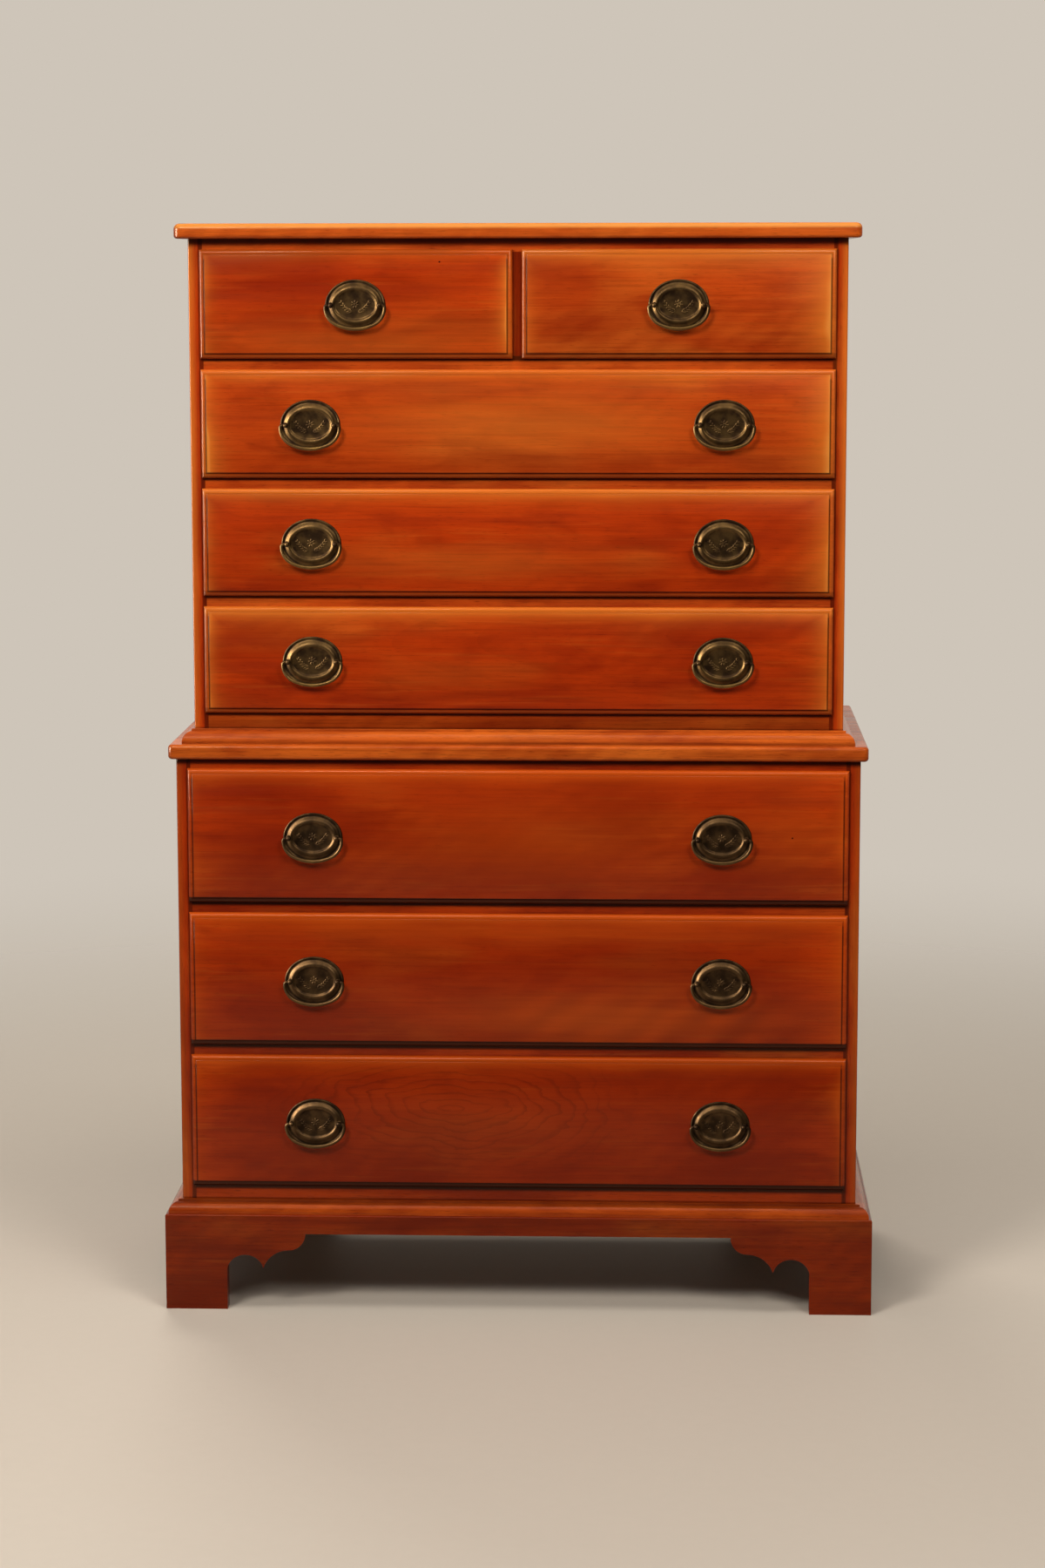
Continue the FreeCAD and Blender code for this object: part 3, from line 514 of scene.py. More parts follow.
    def specks(self, spot: Socket, spacing: float, share: float) -> Socket:
        """Draws small round spots.

        Args:
            spot: the places.
            spacing: how wide the cell of each spot is.
            share: the share of cells that have one.

        Returns:
            1 in the middle of a spot and 0 outside.
        """
        node = self.add("ShaderNodeTexVoronoi", Vector=spot, Scale=1 / spacing)
        cell = self.add("ShaderNodeSeparateColor", Color=node.outputs["Color"])
        here = self.sum("LESS_THAN", cell.outputs[0], share)
        return self.times(here, self.fade(node.outputs["Distance"], 0.032, 0.012))

    def fade(self, value: Number, low: float, high: float, first: float = 0, last: float = 1) -> Socket:
        """Makes a smooth step.

        Args:
            value: what the step follows.
            low, high: the values where it starts and ends, in either order.
            first, last: what it goes from and to.

        Returns:
            The step.
        """
        node = self.add(
            "ShaderNodeMapRange", Value=value, From_Min=low, From_Max=high, To_Min=first, To_Max=last)
        node.interpolation_type = "SMOOTHSTEP"
        return node.outputs[0]

    def decay(self, value: Number, half: Number) -> Socket:
        """Returns a share that is 1 at 0 and halves each time that a value grows by half."""
        return self.sum("POWER", 0.5, self.sum("DIVIDE", self.sum("MAXIMUM", value, 0), half))

    def blend(self, share: Number, first: object, second: object, mode: str = "MIX") -> Socket:
        """Mixes two colours.

        Args:
            share: how much of the second one there is.
            first, second: the colours.
            mode: how they are mixed.

        Returns:
            The mixed colour.
        """
        node = self.nodes.new("ShaderNodeMix")
        node.data_type = "RGBA"
        node.blend_type = mode
        inputs = {socket.identifier: socket for socket in node.inputs}
        self.feed(node.inputs["Factor"], share)
        self.feed(inputs["A_Color"], first)
        self.feed(inputs["B_Color"], second)
        return next(socket for socket in node.outputs if socket.identifier == "Result_Color")

    def attribute(self, name: str) -> Socket:
        """Reads a number that is stored on the mesh.

        Args:
            name: the name that it is stored under.

        Returns:
            The number.
        """
        node = self.nodes.new("ShaderNodeAttribute")
        node.attribute_name = name
        return node.outputs["Fac"]

    def relief(self, height: Number, depth: float, strength: float) -> None:
        """Lets a height pattern catch the light, at its real depth."""
        node = self.add("ShaderNodeBump", Height=height, Distance=depth, Strength=strength)
        self.feed(self.shader.inputs["Normal"], node.outputs[0])

    def finish(self, colour: object, roughness: Number, **constants: object) -> Material:
        """Completes the shader.

        Args:
            colour: its base colour.
            roughness: its roughness.
            constants: its other values, under their names with _ for a space.

        Returns:
            The material.
        """
        self.feed(self.shader.inputs["Base Color"], colour)
        self.feed(self.shader.inputs["Roughness"], roughness)
        for name, value in constants.items():
            self.feed(self.shader.inputs[name.replace("_", " ")], value)
        return self.material


STAIN = tone(198, 62, 10)
DEEP_STAIN = tone(134, 28, 5)
RUBBED_STAIN = tone(234, 127, 42)
# Dark of dirt in specks and joint lines, and of painted shade in creases, under edges and under lips
DIRT_AND_SHADE = tone(40, 9, 3)
STAIN_LINE = tone(84, 18, 5)
RED_RUBBED_STAIN = tone(222, 94, 22)
WORN_STAIN = tone(242, 164, 74)
LACQUER_TINT = (1.0, 0.74, 0.54, 1.0)
LACQUER_SPECULAR = 0.27
LACQUER_ROUGHNESS = (0.17, 0.27)
# How growth rings are drawn out along the grain, and how they make ovals on a board cut along them
RING_STRETCH = (0.3, 1, 1)
FLAT_RING_STRETCH = (0.36, 0, 1)


class Layer(Enum):
    """Layers of noise in stained wood: scale along and across the grain, detail, distortion and turn."""

    FIBRE = ((9, 420, 420), 3, 0, (0, 0, 0))
    PORE = ((70, 1100, 1100), 2, 0, (0, 0, 0))
    STREAK = ((3.5, 60, 60), 4, 0.4, (0, 0, 0))
    THREAD = ((7, 170, 170), 3, 0.3, (0, 0, 0))
    BLOTCH = ((3.6, 11, 11), 3, 0.8, (0, 0, 0))
    MOTTLE = ((11, 30, 30), 3, 0.5, (0, 0.3, 0.2))
    CLOUD = ((4.2, 13, 13), 2, 0, (0, 0.4, 0.3))
    CURL_PATCH = ((4, 7, 7), 1, 0, (0, 0, 0))

    def __init__(self, scale: Triple, detail: float, distortion: float, turn: Triple) -> None:
        """Names the facts of one layer.

        Args:
            scale: how fine the noise is along the grain and across it.
            detail: how many finer layers it has.
            distortion: how far it is swirled.
            turn: how it is turned from the grain.
        """
        self.scale = scale
        self.detail = detail
        self.distortion = distortion
        self.turn = turn

    def lay(self, graph: Graph, along: Socket) -> Socket:
        """Returns the layer's noise on places along the grain."""
        return graph.noise(graph.laid(along, self.scale, self.turn), 1, self.detail, self.distortion)


@dataclass(frozen=True)
class Stroke:
    """A colour that a layer of noise brings, from where it starts to where it has its full strength."""

    layer: Layer
    start: float
    full: float
    strength: float
    colour: Colour


FINE_STROKES = (
    Stroke(Layer.STREAK, 0.48, 0.75, 0.4, DEEP_STAIN),
    Stroke(Layer.THREAD, 0.5, 0.75, 0.32, DEEP_STAIN),
    Stroke(Layer.THREAD, 0.45, 0.25, 0.14, RUBBED_STAIN),
    Stroke(Layer.PORE, 0.56, 0.76, 0.5, STAIN_LINE),
)
FIBRE_STROKES = (Stroke(Layer.FIBRE, 0.45, 0.8, 0.32, STAIN_LINE),)


def brushed(graph: Graph, colour: Socket, noise: dict[Layer, Socket], strokes: Sequence[Stroke]) -> Socket:
    """Lays strokes over a colour.

    Args:
        graph: the finish's nodes.
        colour: the wood's colour so far.
        noise: the wood's layers of noise.
        strokes: what is laid over it, in order.

    Returns:
        The colour with its strokes.
    """
    for stroke in strokes:
        share = graph.fade(noise[stroke.layer], stroke.start, stroke.full, 0, stroke.strength)
        colour = graph.blend(share, colour, stroke.colour)
    return colour


@dataclass(frozen=True)
class CherryFinish:
    """Stained cherry under satin lacquer, with rings, fibres, blotches and some curl."""

    name: str
    grain: Grain
    # The middle of the growth rings, how far the board leans to them, and how far apart and dark they are
    pith: Triple = (0.3, 0.22, -0.1)
    lean: float = 0.12
    ring_spacing: float = 0.008
    ring_depth: float = 0.08
    # How far from the pith the rings still show, where they don't show everywhere
    ring_reach: float = 0.0
    ring_wobble: float = 5.0
    # How pale the clouds and how dark the blotches in the stain are
    paleness: float = 0.35
    darkness: float = 0.6
    mottling: float = 0.38
    # How pale the whole board is, and the share of brightness that it keeps
    pale_base: float = 0.0
    stain_light: float = 1.0
    # How strong the curl is, how far apart its bands are and how they slant
    curl_depth: float = 0.2
    curl_spacing: float = 0.023
    curl_slant: Triple = (0.0, -0.95, 0.3)
    # The height that the curl stays under, and how far over it the curl still fades
    curl_top: float = 9.0
    curl_fade: float = 0.03
    # Where the curl lies and how far it reaches on each side, where it doesn't lie in patches
    curl_middle: float = 0.0
    curl_reach: float = 0.0
    # Height over which the colour goes from its foot's share of light to all of it: darker towards the foot,
    # partly stain and partly painted shade
    rise: float = 0.95
    foot_light: float = 0.7
    # Half width of a case whose front edges are pale with wear and a painted highlight, where its front is
    # and how pale they are
    edge_half: float = 0.0
    edge_front: float = 0.0
    edge_pale: float = 0.6
    # How far in from the sides this wear and painted highlight start, and how far behind the front they end
    # and are full
    edge_reach: float = 12 * MM
    edge_depths: tuple[float, float] = (9 * MM, 1 * MM)
    # Half width of a case whose rails meet its sides in a dark line there
    seam_half: float = 0.0
    # How far from there the line ends and is full, and how dark it is
    seam_reach: tuple[float, float] = (0.9 * MM, 0.2 * MM)
    seam_dark: float = 0.35
    # Painted shade under overhanging edges: their height, how far the shade reaches, how dark it is
    crevices: tuple[Triple, ...] = ()
    # Painted shade in the creases above joints: their height, how far the shade reaches, how dark it is
    joints: tuple[Triple, ...] = ()
    # How far the painted shade runs on past such an edge and such a joint
    crevice_over: float = 4 * MM
    joint_over: float = 1 * MM
    # Painted shade also lies beside this half width, in the gaps at the drawers' lips: how far from it this
    # ends and is full, and how dark it is
    crevice_half: float = 0.0
    crevice_reach: tuple[float, float] = (3 * MM, 0.5 * MM)
    crevice_dark: float = 0.7
    # Front and top of a board whose front arris is pale with wear and a painted highlight
    arris: tuple[float, float] | None = None
    # How far behind that front and under that top the wear and painted highlight end and are full, and how
    # pale they are
    arris_depths: tuple[float, float] = (8 * MM, 3 * MM)
    arris_drops: tuple[float, float] = (8 * MM, 4 * MM)
    arris_pale: float = 0.6
    # How far apart dark specks can be, and how many of these places have one
    speck_spacing: float = 50 * MM
    speck_share: float = 0.1

    def make(self) -> Material:
        """Builds the finish.

        Returns:
            Its material.
        """
        graph = Graph(self.name)
        along = graph.laid(graph.less(graph.spot, self.pith), turn=self.grain.value)
        noise = {layer: layer.lay(graph, along) for layer in Layer}
        colour = self.stained(graph, along, noise)
        colour = self.rubbed(graph, colour, noise[Layer.CLOUD])
        colour = graph.blend(graph.specks(graph.spot, self.speck_spacing, self.speck_share), colour, DIRT_AND_SHADE)
        height = graph.parts(graph.spot)[Axis.Z.value]
        # Darker towards the foot: partly stain and partly painted shade
        light = graph.fade(height, 0, self.rise, self.foot_light * self.stain_light, self.stain_light)
        shade = graph.add("ShaderNodeCombineColor", Red=light, Green=light, Blue=light)
        colour = graph.blend(1.0, colour, shade.outputs[0], "MULTIPLY")
        graph.relief(noise[Layer.FIBRE], 0.2 * MM, 0.03)
        roughness = graph.fade(noise[Layer.STREAK], 0.3, 0.8, *LACQUER_ROUGHNESS)
        return graph.finish(
            colour, roughness, Specular_IOR_Level=LACQUER_SPECULAR, Specular_Tint=LACQUER_TINT)

    def stained(self, graph: Graph, along: Socket, noise: dict[Layer, Socket]) -> Socket:
        """Colours the wood as it was stained.

        Args:
            graph: the finish's nodes.
            along: places along the grain.
            noise: the wood's layers of noise.

        Returns:
            The colour before any wear.
        """
        broad_strokes = (
            Stroke(Layer.BLOTCH, 0.4, 0.7, self.darkness, DEEP_STAIN),
            Stroke(Layer.CLOUD, 0.48, 0.75, self.paleness, RUBBED_STAIN),
            Stroke(Layer.MOTTLE, 0.45, 0.7, self.mottling, DEEP_STAIN),
        )
        colour = graph.blend(self.pale_base, STAIN, RUBBED_STAIN)
        colour = brushed(graph, colour, noise, broad_strokes)
        curl = graph.times(self.curl(graph, along, noise), self.curl_depth)
        colour = graph.blend(curl, colour, DEEP_STAIN)
        colour = brushed(graph, colour, noise, FINE_STROKES)
        broken = graph.fade(noise[Layer.MOTTLE], 0.3, 0.55, 0.35, 1)
        ring = graph.times(self.ring(graph, along), broken, self.ring_depth)
        colour = graph.blend(ring, colour, STAIN_LINE)
        return brushed(graph, colour, noise, FIBRE_STROKES)

    def ring(self, graph: Graph, along: Socket) -> Socket:
        """Draws the dark lines of the growth rings.

        Args:
            graph: the finish's nodes.
            along: places along the grain.

        Returns:
            1 on a line and 0 between two of them.
        """
        if self.ring_reach:
            cut = graph.laid(along, FLAT_RING_STRETCH)
            line = graph.fade(graph.contours(cut, self.ring_spacing, self.ring_wobble), 0.62, 0.98)
            return graph.times(line, graph.fade(graph.length(cut), self.ring_reach, self.ring_reach / 3))
        leaning = graph.laid(along, RING_STRETCH, turn=(0, self.lean / 2, self.lean))
        return graph.fade(graph.rings(leaning, self.ring_spacing, self.ring_wobble), 0.6, 0.97)

    def curl(self, graph: Graph, along: Socket, noise: dict[Layer, Socket]) -> Socket:
        """Draws the slanting bands of curled wood.

        Args:
            graph: the finish's nodes.
            along: places along the grain.
            noise: the wood's layers of noise.

        Returns:
            1 in the middle of a band and 0 outside.
        """
        x, _, height = graph.parts(graph.spot)
        if self.curl_reach:
            aside = graph.sum("ABSOLUTE", graph.minus(x, self.curl_middle))
            place = graph.fade(aside, self.curl_reach, self.curl_reach / 2)
        else:
            place = graph.fade(noise[Layer.CURL_PATCH], 0.46, 0.62)
        band = graph.bands(graph.laid(along, turn=self.curl_slant), self.curl_spacing, 4.0)
        return graph.times(band, place, graph.fade(height, self.curl_top + self.curl_fade, self.curl_top))

    def rubbed(self, graph: Graph, colour: Socket, cloud: Socket) -> Socket:
        """Lightens the outer edges of a case with wear and a painted highlight, darkens its joint lines, and
        paints shade under overhangs, in creases above joints and beside the drawers' lips.

        Args:
            graph: the finish's nodes.
            colour: the wood's colour so far.
            cloud: noise that breaks up the wear.

        Returns:
            The colour with its edges.
        """
        x, y, height = graph.parts(graph.spot)
        across = graph.sum("ABSOLUTE", x)
        # Wear and a painted highlight on the outer front edges
        if self.edge_half:
            near = graph.fade(across, self.edge_half - self.edge_reach, self.edge_half, 0, self.edge_pale)
            ahead = graph.fade(y, *(self.edge_front + depth for depth in self.edge_depths))
            near = graph.times(near, graph.fade(cloud, 0.2, 0.6, 0.6, 1), ahead)
            colour = graph.blend(near, colour, RUBBED_STAIN)
        if self.seam_half:
            apart = graph.sum("ABSOLUTE", graph.minus(across, self.seam_half))
            colour = graph.blend(graph.fade(apart, *self.seam_reach, 0, self.seam_dark), colour, DIRT_AND_SHADE)
        # Painted shade under overhanging edges
        for edge, reach, depth in self.crevices:
            near = graph.fade(height, edge - reach, edge - reach / 4, 0, depth)
            below = graph.sum("LESS_THAN", height, edge + self.crevice_over)
            colour = graph.blend(graph.times(near, below), colour, DIRT_AND_SHADE)
        # Wear and a painted highlight on the front arris
        if self.arris:
            front, top = self.arris
            near = graph.fade(y, *(front + depth for depth in self.arris_depths), 0, self.arris_pale)
            near = graph.times(near, graph.fade(height, *(top - drop for drop in self.arris_drops)))
            colour = graph.blend(near, colour, WORN_STAIN)
        # Painted shade in the creases above joints
        for edge, reach, depth in self.joints:
            near = graph.fade(height, edge + reach, edge + reach / 4, 0, depth)
            above = graph.sum("GREATER_THAN", height, edge - self.joint_over)
            colour = graph.blend(graph.times(near, above), colour, DIRT_AND_SHADE)
        # Painted shade in the gaps beside the drawers' lips
        if self.crevice_half:
            places = (self.crevice_half + reach for reach in self.crevice_reach)
            colour = graph.blend(graph.fade(across, *places, 0, self.crevice_dark), colour, DIRT_AND_SHADE)
        return colour


@dataclass(frozen=True)
class Patch:
    """A soft patch where the stain took more or less, measured from the middle of a drawer front.

    At the half width and half height, half of it is left. A pale patch has a depth over 0.
    """

    across: float
    above: float
    half_width: float
    half_height: float
    depth: float


@dataclass(frozen=True)
class CherryFrontFinish(CherryFinish):
    """Cherry on a drawer front, rubbed pale along its ends and top, dark with dirt and painted shade in its
    quirk, and with painted shade under its lower lip.
    """

    middle: tuple[float, float] = (0.0, 0.0)
    half: tuple[float, float] = (0.4, 0.07)
    quirk: float = 0.006
    # How pale the left end, the right end and the upper edge are rubbed
    pale_edges: Triple = (0.3, 0.4, 0.35)
    # How far in from the left end, the right end and the upper edge half of that is left
    pale_halves: tuple[float, float] = (5 * MM, 5 * MM)
    top_half: float = 4.5 * MM
    # How much of the wear the lips outside the quirk get, and their own paleness
    lip_wear: float = 0.45
    lip_pale: float = 0.22
    # Over how wide a line the wear changes to the lips', and how far in their paleness ends and is full
    lip_change: float = 1 * MM
    lip_reach: tuple[float, float] = (5.5 * MM, 3.5 * MM)
    # How strong the ends' wear is where paler wood starts to come through and is full, and how pale it is
    worn_from: tuple[float, float] = (0.55, 1.1)
    worn_pale: float = 0.75
    # How dark the middle of the front is toned, where this starts and is full, and how dark the painted shade
    # under its lip is
    toned: float = 0.2
    toned_reach: tuple[float, float] = (15 * MM, 90 * MM)
    under_dark: float = 0.4
    # How far above its lower edge the painted shade under the lip ends and is full
    under_reach: tuple[float, float] = (8.2 * MM, 6 * MM)
    # How dark the dirt and painted shade in the quirk are along the top and elsewhere, and how far down this
    # changes
    quirk_dark: tuple[float, float] = (0.28, 0.72)
    quirk_change: tuple[float, float] = (10 * MM, 14 * MM)
    # How far from the quirk's middle the dirt and painted shade end and are full
    quirk_reach: tuple[float, float] = (1.7 * MM, 0.4 * MM)
    # How far clouds and fibres shift the borders of the wear, and the upper edge's share of the clouds'
    cloud_shift: float = 30 * MM
    fibre_shift: float = 40 * MM
    top_share: float = 0.3
    # How fine those fibres are along each axis
    fibre_scale: Triple = (6, 6, 120)
    # The left end's wear gives way to the right end's this near the middle
    change_half: float = 20 * MM
    rubbed_stain: Colour = RUBBED_STAIN
    patches: tuple[Patch, ...] = ()

    def patched(self, graph: Graph, colour: Socket, aside: Socket, up: Socket) -> Socket:
        """Lays the front's patches over its colour.

        Args:
            graph: the finish's nodes.
            colour: the wood's colour so far.
            aside, up: how far a place lies from the front's middle.

        Returns:
            The colour with its patches.
        """
        for patch in self.patches:
            over = graph.sum("DIVIDE", graph.minus(up, patch.above), patch.half_height)
            beside = graph.sum("DIVIDE", graph.minus(aside, patch.across), patch.half_width)
            away = graph.sum("ADD", graph.times(over, over), graph.times(beside, beside))
            share = graph.times(graph.decay(away, 1), abs(patch.depth))
            colour = graph.blend(share, colour, self.rubbed_stain if patch.depth > 0 else DEEP_STAIN)
        return colour

    def rubbed(self, graph: Graph, colour: Socket, cloud: Socket) -> Socket:
        """Lightens the ends and the upper edge of the front, darkens its quirk with dirt and painted shade,
        and paints shade under its lower lip.

        Args:
            graph: the finish's nodes.
            colour: the wood's colour so far.
            cloud: noise that breaks up the wear.

        Returns:
            The colour with its edges.
        """
        x, _, z = graph.parts(graph.spot)
        left, right, upper = self.pale_edges
        aside = graph.minus(x, self.middle[0])
        up = graph.minus(z, self.middle[1])
        to_end = graph.minus(self.half[0], graph.sum("ABSOLUTE", aside))
        to_top = graph.minus(self.half[1], up)
        to_foot = graph.sum("ADD", self.half[1], up)
        to_edge = graph.sum("MINIMUM", to_end, graph.sum("MINIMUM", to_top, to_foot))
        fine = graph.noise(graph.laid(graph.spot, self.fibre_scale), 1)
        ragged = graph.times(graph.minus(0.5, cloud), self.cloud_shift)
        uneven = graph.sum("ADD", ragged, graph.times(graph.minus(0.5, fine), self.fibre_shift))

        colour = graph.blend(graph.fade(to_end, *self.toned_reach, 0, self.toned), colour, DEEP_STAIN)
        colour = self.patched(graph, colour, aside, graph.sum("ADD", up, uneven))
        ends = graph.decay(
            graph.sum("ADD", graph.minus(to_end, self.quirk), ragged),
            graph.fade(aside, -self.change_half, self.change_half, *self.pale_halves))
        ends = graph.times(
            ends,
            graph.fade(aside, -self.change_half, self.change_half, left, right),
            graph.fade(to_edge, self.quirk - self.lip_change, self.quirk, self.lip_wear, 1))
        below = graph.sum("ADD", graph.minus(to_top, self.quirk), graph.times(ragged, self.top_share))
        top = graph.times(graph.decay(below, self.top_half), upper)
        lip = graph.fade(to_edge, *self.lip_reach, 0, self.lip_pale)
        pale = graph.sum("MAXIMUM", graph.sum("MAXIMUM", ends, top), lip)
        colour = graph.blend(pale, colour, self.rubbed_stain)
        colour = graph.blend(graph.fade(ends, *self.worn_from, 0, self.worn_pale), colour, WORN_STAIN)
        # Painted shade under the lower lip
        colour = graph.blend(graph.fade(to_foot, *self.under_reach, 0, self.under_dark), colour, DIRT_AND_SHADE)
        # Dirt and painted shade in the quirk
        apart = graph.sum("ABSOLUTE", graph.minus(to_edge, self.quirk))
        dirt_and_shade = graph.times(
            graph.fade(to_top, *self.quirk_change, *self.quirk_dark), graph.fade(apart, *self.quirk_reach))
        return graph.blend(dirt_and_shade, colour, DIRT_AND_SHADE)


@dataclass(frozen=True)
class PaleWoodFinish:
    """Bare secondary wood, aged a little, with fine fibres and faint rings."""

    name: str
    grain: Grain
    body: Colour
    # The colour of its fibres, rings and age stains
    dark: Colour
    # Boards whose faces look sideways run deep, and the others across, as in a drawer
    boxed: bool = False
    # The middle of its growth rings, how the boards lean to them, and how far apart and ragged they are
    pith: Triple = (0.2, 0.3, -0.3)
    lean: Triple = (0, 0.1, 0.12)
    ring_spacing: float = 11 * MM
    ring_wobble: float = 4.0
    # How fine the fibres are along the grain and across it
    fibre_scale: Triple = (6, 300, 300)

    def make(self) -> Material:
        """Builds the finish.

        Returns:
            Its material.
        """
        graph = Graph(self.name)
        fibre, ring = self.figure(graph, self.grain)
        if self.boxed:
            sideways = graph.sum("ABSOLUTE", graph.parts(graph.place.outputs["Normal"])[Axis.X.value])
            deep_fibre, deep_ring = self.figure(graph, Grain.DEEP)
            fibre = graph.blend(sideways, fibre, deep_fibre)
            ring = graph.blend(sideways, ring, deep_ring)
        stain = graph.noise(graph.spot, 7, 4)
        colour = graph.blend(graph.fade(stain, 0.4, 0.75, 0, 0.5), self.body, self.dark)
        colour = graph.blend(graph.times(ring, 0.45), colour, self.dark)
        colour = graph.blend(graph.fade(fibre, 0.45, 0.8, 0, 0.6), colour, self.dark)
        graph.relief(fibre, 0.4 * MM, 0.25)
        return graph.finish(colour, graph.fade(stain, 0.3, 0.8, 0.55, 0.75), Specular_IOR_Level=0.25)

    def figure(self, graph: Graph, grain: Grain) -> tuple[Socket, Socket]:
        """Draws the figure along one grain.

        Args:
            graph: the finish's nodes.
            grain: the way that the fibres run.

        Returns:
            The fibres and the growth rings.
        """
        along = graph.laid(graph.less(graph.spot, self.pith), turn=grain.value)
        fibre = graph.noise(graph.laid(along, self.fibre_scale), 1)
        leaning = graph.laid(along, RING_STRETCH, self.lean)
        return fibre, graph.fade(graph.rings(leaning, self.ring_spacing, self.ring_wobble), 0.5, 0.95)


@dataclass(frozen=True)
class BrassFinish:
    """Cast and stamped brass under a brown patina, bright where hands have rubbed it."""

    name: str
    patina: Colour
    bronze: Colour
    bright: Colour

    def make(self) -> Material:
        """Builds the finish.

        Returns:
            Its material.
        """
        graph = Graph(self.name)
        cloud = graph.noise(graph.spot, 70, 3)
        pit = graph.noise(graph.spot, 700, 3)
        rub = graph.sum("ADD", graph.attribute("wear"), graph.fade(cloud, 0.3, 0.7, -0.14, 0.14))
        colour = graph.blend(graph.fade(rub, 0.0, 0.5), self.patina, self.bronze)
        colour = graph.blend(graph.fade(rub, 0.45, 1.1), colour, self.bright)
        colour = graph.blend(graph.fade(pit, 0.5, 0.75, 0, 0.25), colour, self.patina)
        graph.relief(pit, 0.1 * MM, 0.08)
        return graph.finish(colour, graph.fade(rub, 0.0, 1.0, 0.46, 0.3), Metallic=1.0)


# The case


def cherry(name: str, grain: Grain, **facts: object) -> Material:
    """Makes a cherry finish for one board or group of boards."""
    return CherryFinish(f"cherry_{name}", grain, **facts).make()


@dataclass
class EdgedBoard:
    """A top board whose front and side edges are rounded."""

    node: str
    upper_round: float
    lower_round: float
    corner_extra: float = 2 * MM
    segments: int = 6

    def build(self, material: Material) -> None:
        """Models the board in the place of its node and dresses it.

        Args:
            material: its finish.
        """
        low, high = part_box(self.node)
        board = block(f"{self.node}_rounded", low, high)
        with editing(board):
            choose(Part.EDGE, lambda a, b: flat(a, b, Axis.Y, low.y) and (
                flat(a, b, Axis.X, low.x) or flat(a, b, Axis.X, high.x)))
            bevel(max(self.upper_round, self.lower_round) + self.corner_extra, self.segments)
            for plane, radius in ((high.z, self.upper_round), (low.z, self.lower_round)):
                choose(Part.EDGE, lambda a, b: flat(a, b, Axis.Z, plane) and not flat(a, b, Axis.Y, high.y))
                bevel(radius, self.segments)
        round_shade(board)
        seat(board, "case", "cherry_case", material, self.node)


@dataclass
class Moulding:
    """Three mitred strips of an ovolo moulding under a square fillet."""

    node: str
    lip: float
    ovolo_height: float
    ovolo_reach: float
    fillet_height: float
    fillet_reach: float
    fillet_round: float = 0.6 * MM
    segments: int = 12

    def strip(self, name: str, length: float) -> Piece:
        """Models a straight strip along X.

        Args:
            name: the strip's name.
            length: its length, before it is mitred.

        Returns:
            The strip, with its back along the X axis and its ovolo towards -Y.
        """
        top = self.lip + self.ovolo_height
        reach = self.fillet_reach + self.ovolo_height
        strip = block(name, (-length / 2, -reach, 0), (length / 2, 0, top))
        with editing(strip):
            choose(Part.EDGE, lambda a, b: flat(a, b, Axis.Y, -reach) and flat(a, b, Axis.Z, top))
            bevel(self.ovolo_height, self.segments)
            choose(Part.VERTEX, lambda a, b: a.y < -self.fillet_reach - SAME_PLANE)
            resize((1, self.ovolo_reach / self.ovolo_height, 1), (0, -self.fillet_reach, 0))
            choose(Part.FACE, lambda a, b: flat(a, b, Axis.Z, top))
            extrude((0, 0, self.fillet_height))
            choose(Part.EDGE, lambda a, b: (
                flat(a, b, Axis.Z, top + self.fillet_height) and flat(a, b, Axis.Y, -self.fillet_reach)))
            bevel(self.fillet_round, 2)
        return strip

    def mitre(self, strip: Piece, corner: Vector, outward: Vector) -> None:
        """Cuts a strip off along an upright plane.

        Args:
            strip: the strip.
            corner: a point of the plane.
            outward: the way to the end that falls off.
        """
        with editing(strip):
            bpy.ops.mesh.select_all(action="SELECT")
            bpy.ops.mesh.bisect(plane_co=corner, plane_no=outward, use_fill=True, clear_outer=True)

    def build(self, front_wood: Material, side_wood: Material) -> None:
        """Models the strips in the place of their node and dresses each along its own grain.

        Args:
            front_wood: the finish of the strip along the front.
            side_wood: the finish of the strips along the sides.
        """
        low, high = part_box(self.node)
        reach = self.fillet_reach + self.ovolo_reach
        front = self.strip("moulding_front", high.x - low.x)
        front.location = (0, low.y + reach, low.z)
        settle(front)
        front.data.materials.append(front_wood)
        strips = [front]
        for sign, name in ((1, "moulding_right"), (-1, "moulding_left")):
            side = self.strip(name, high.y - low.y)
            side.rotation_euler = (0, 0, sign * math.pi / 2)
            side.location = (sign * (high.x - reach), (low.y + high.y) / 2, low.z)
            settle(side)
            side.data.materials.append(side_wood)
            corner = Vector((sign * high.x, low.y, low.z))
            self.mitre(front, corner, Vector((sign, 1, 0)))
            self.mitre(side, corner, Vector((-sign, -1, 0)))
            strips.append(side)
        whole = join(f"{self.node}_run", strips)
        round_shade(whole)
        seat(whole, "case", "cherry_case", None, self.node)


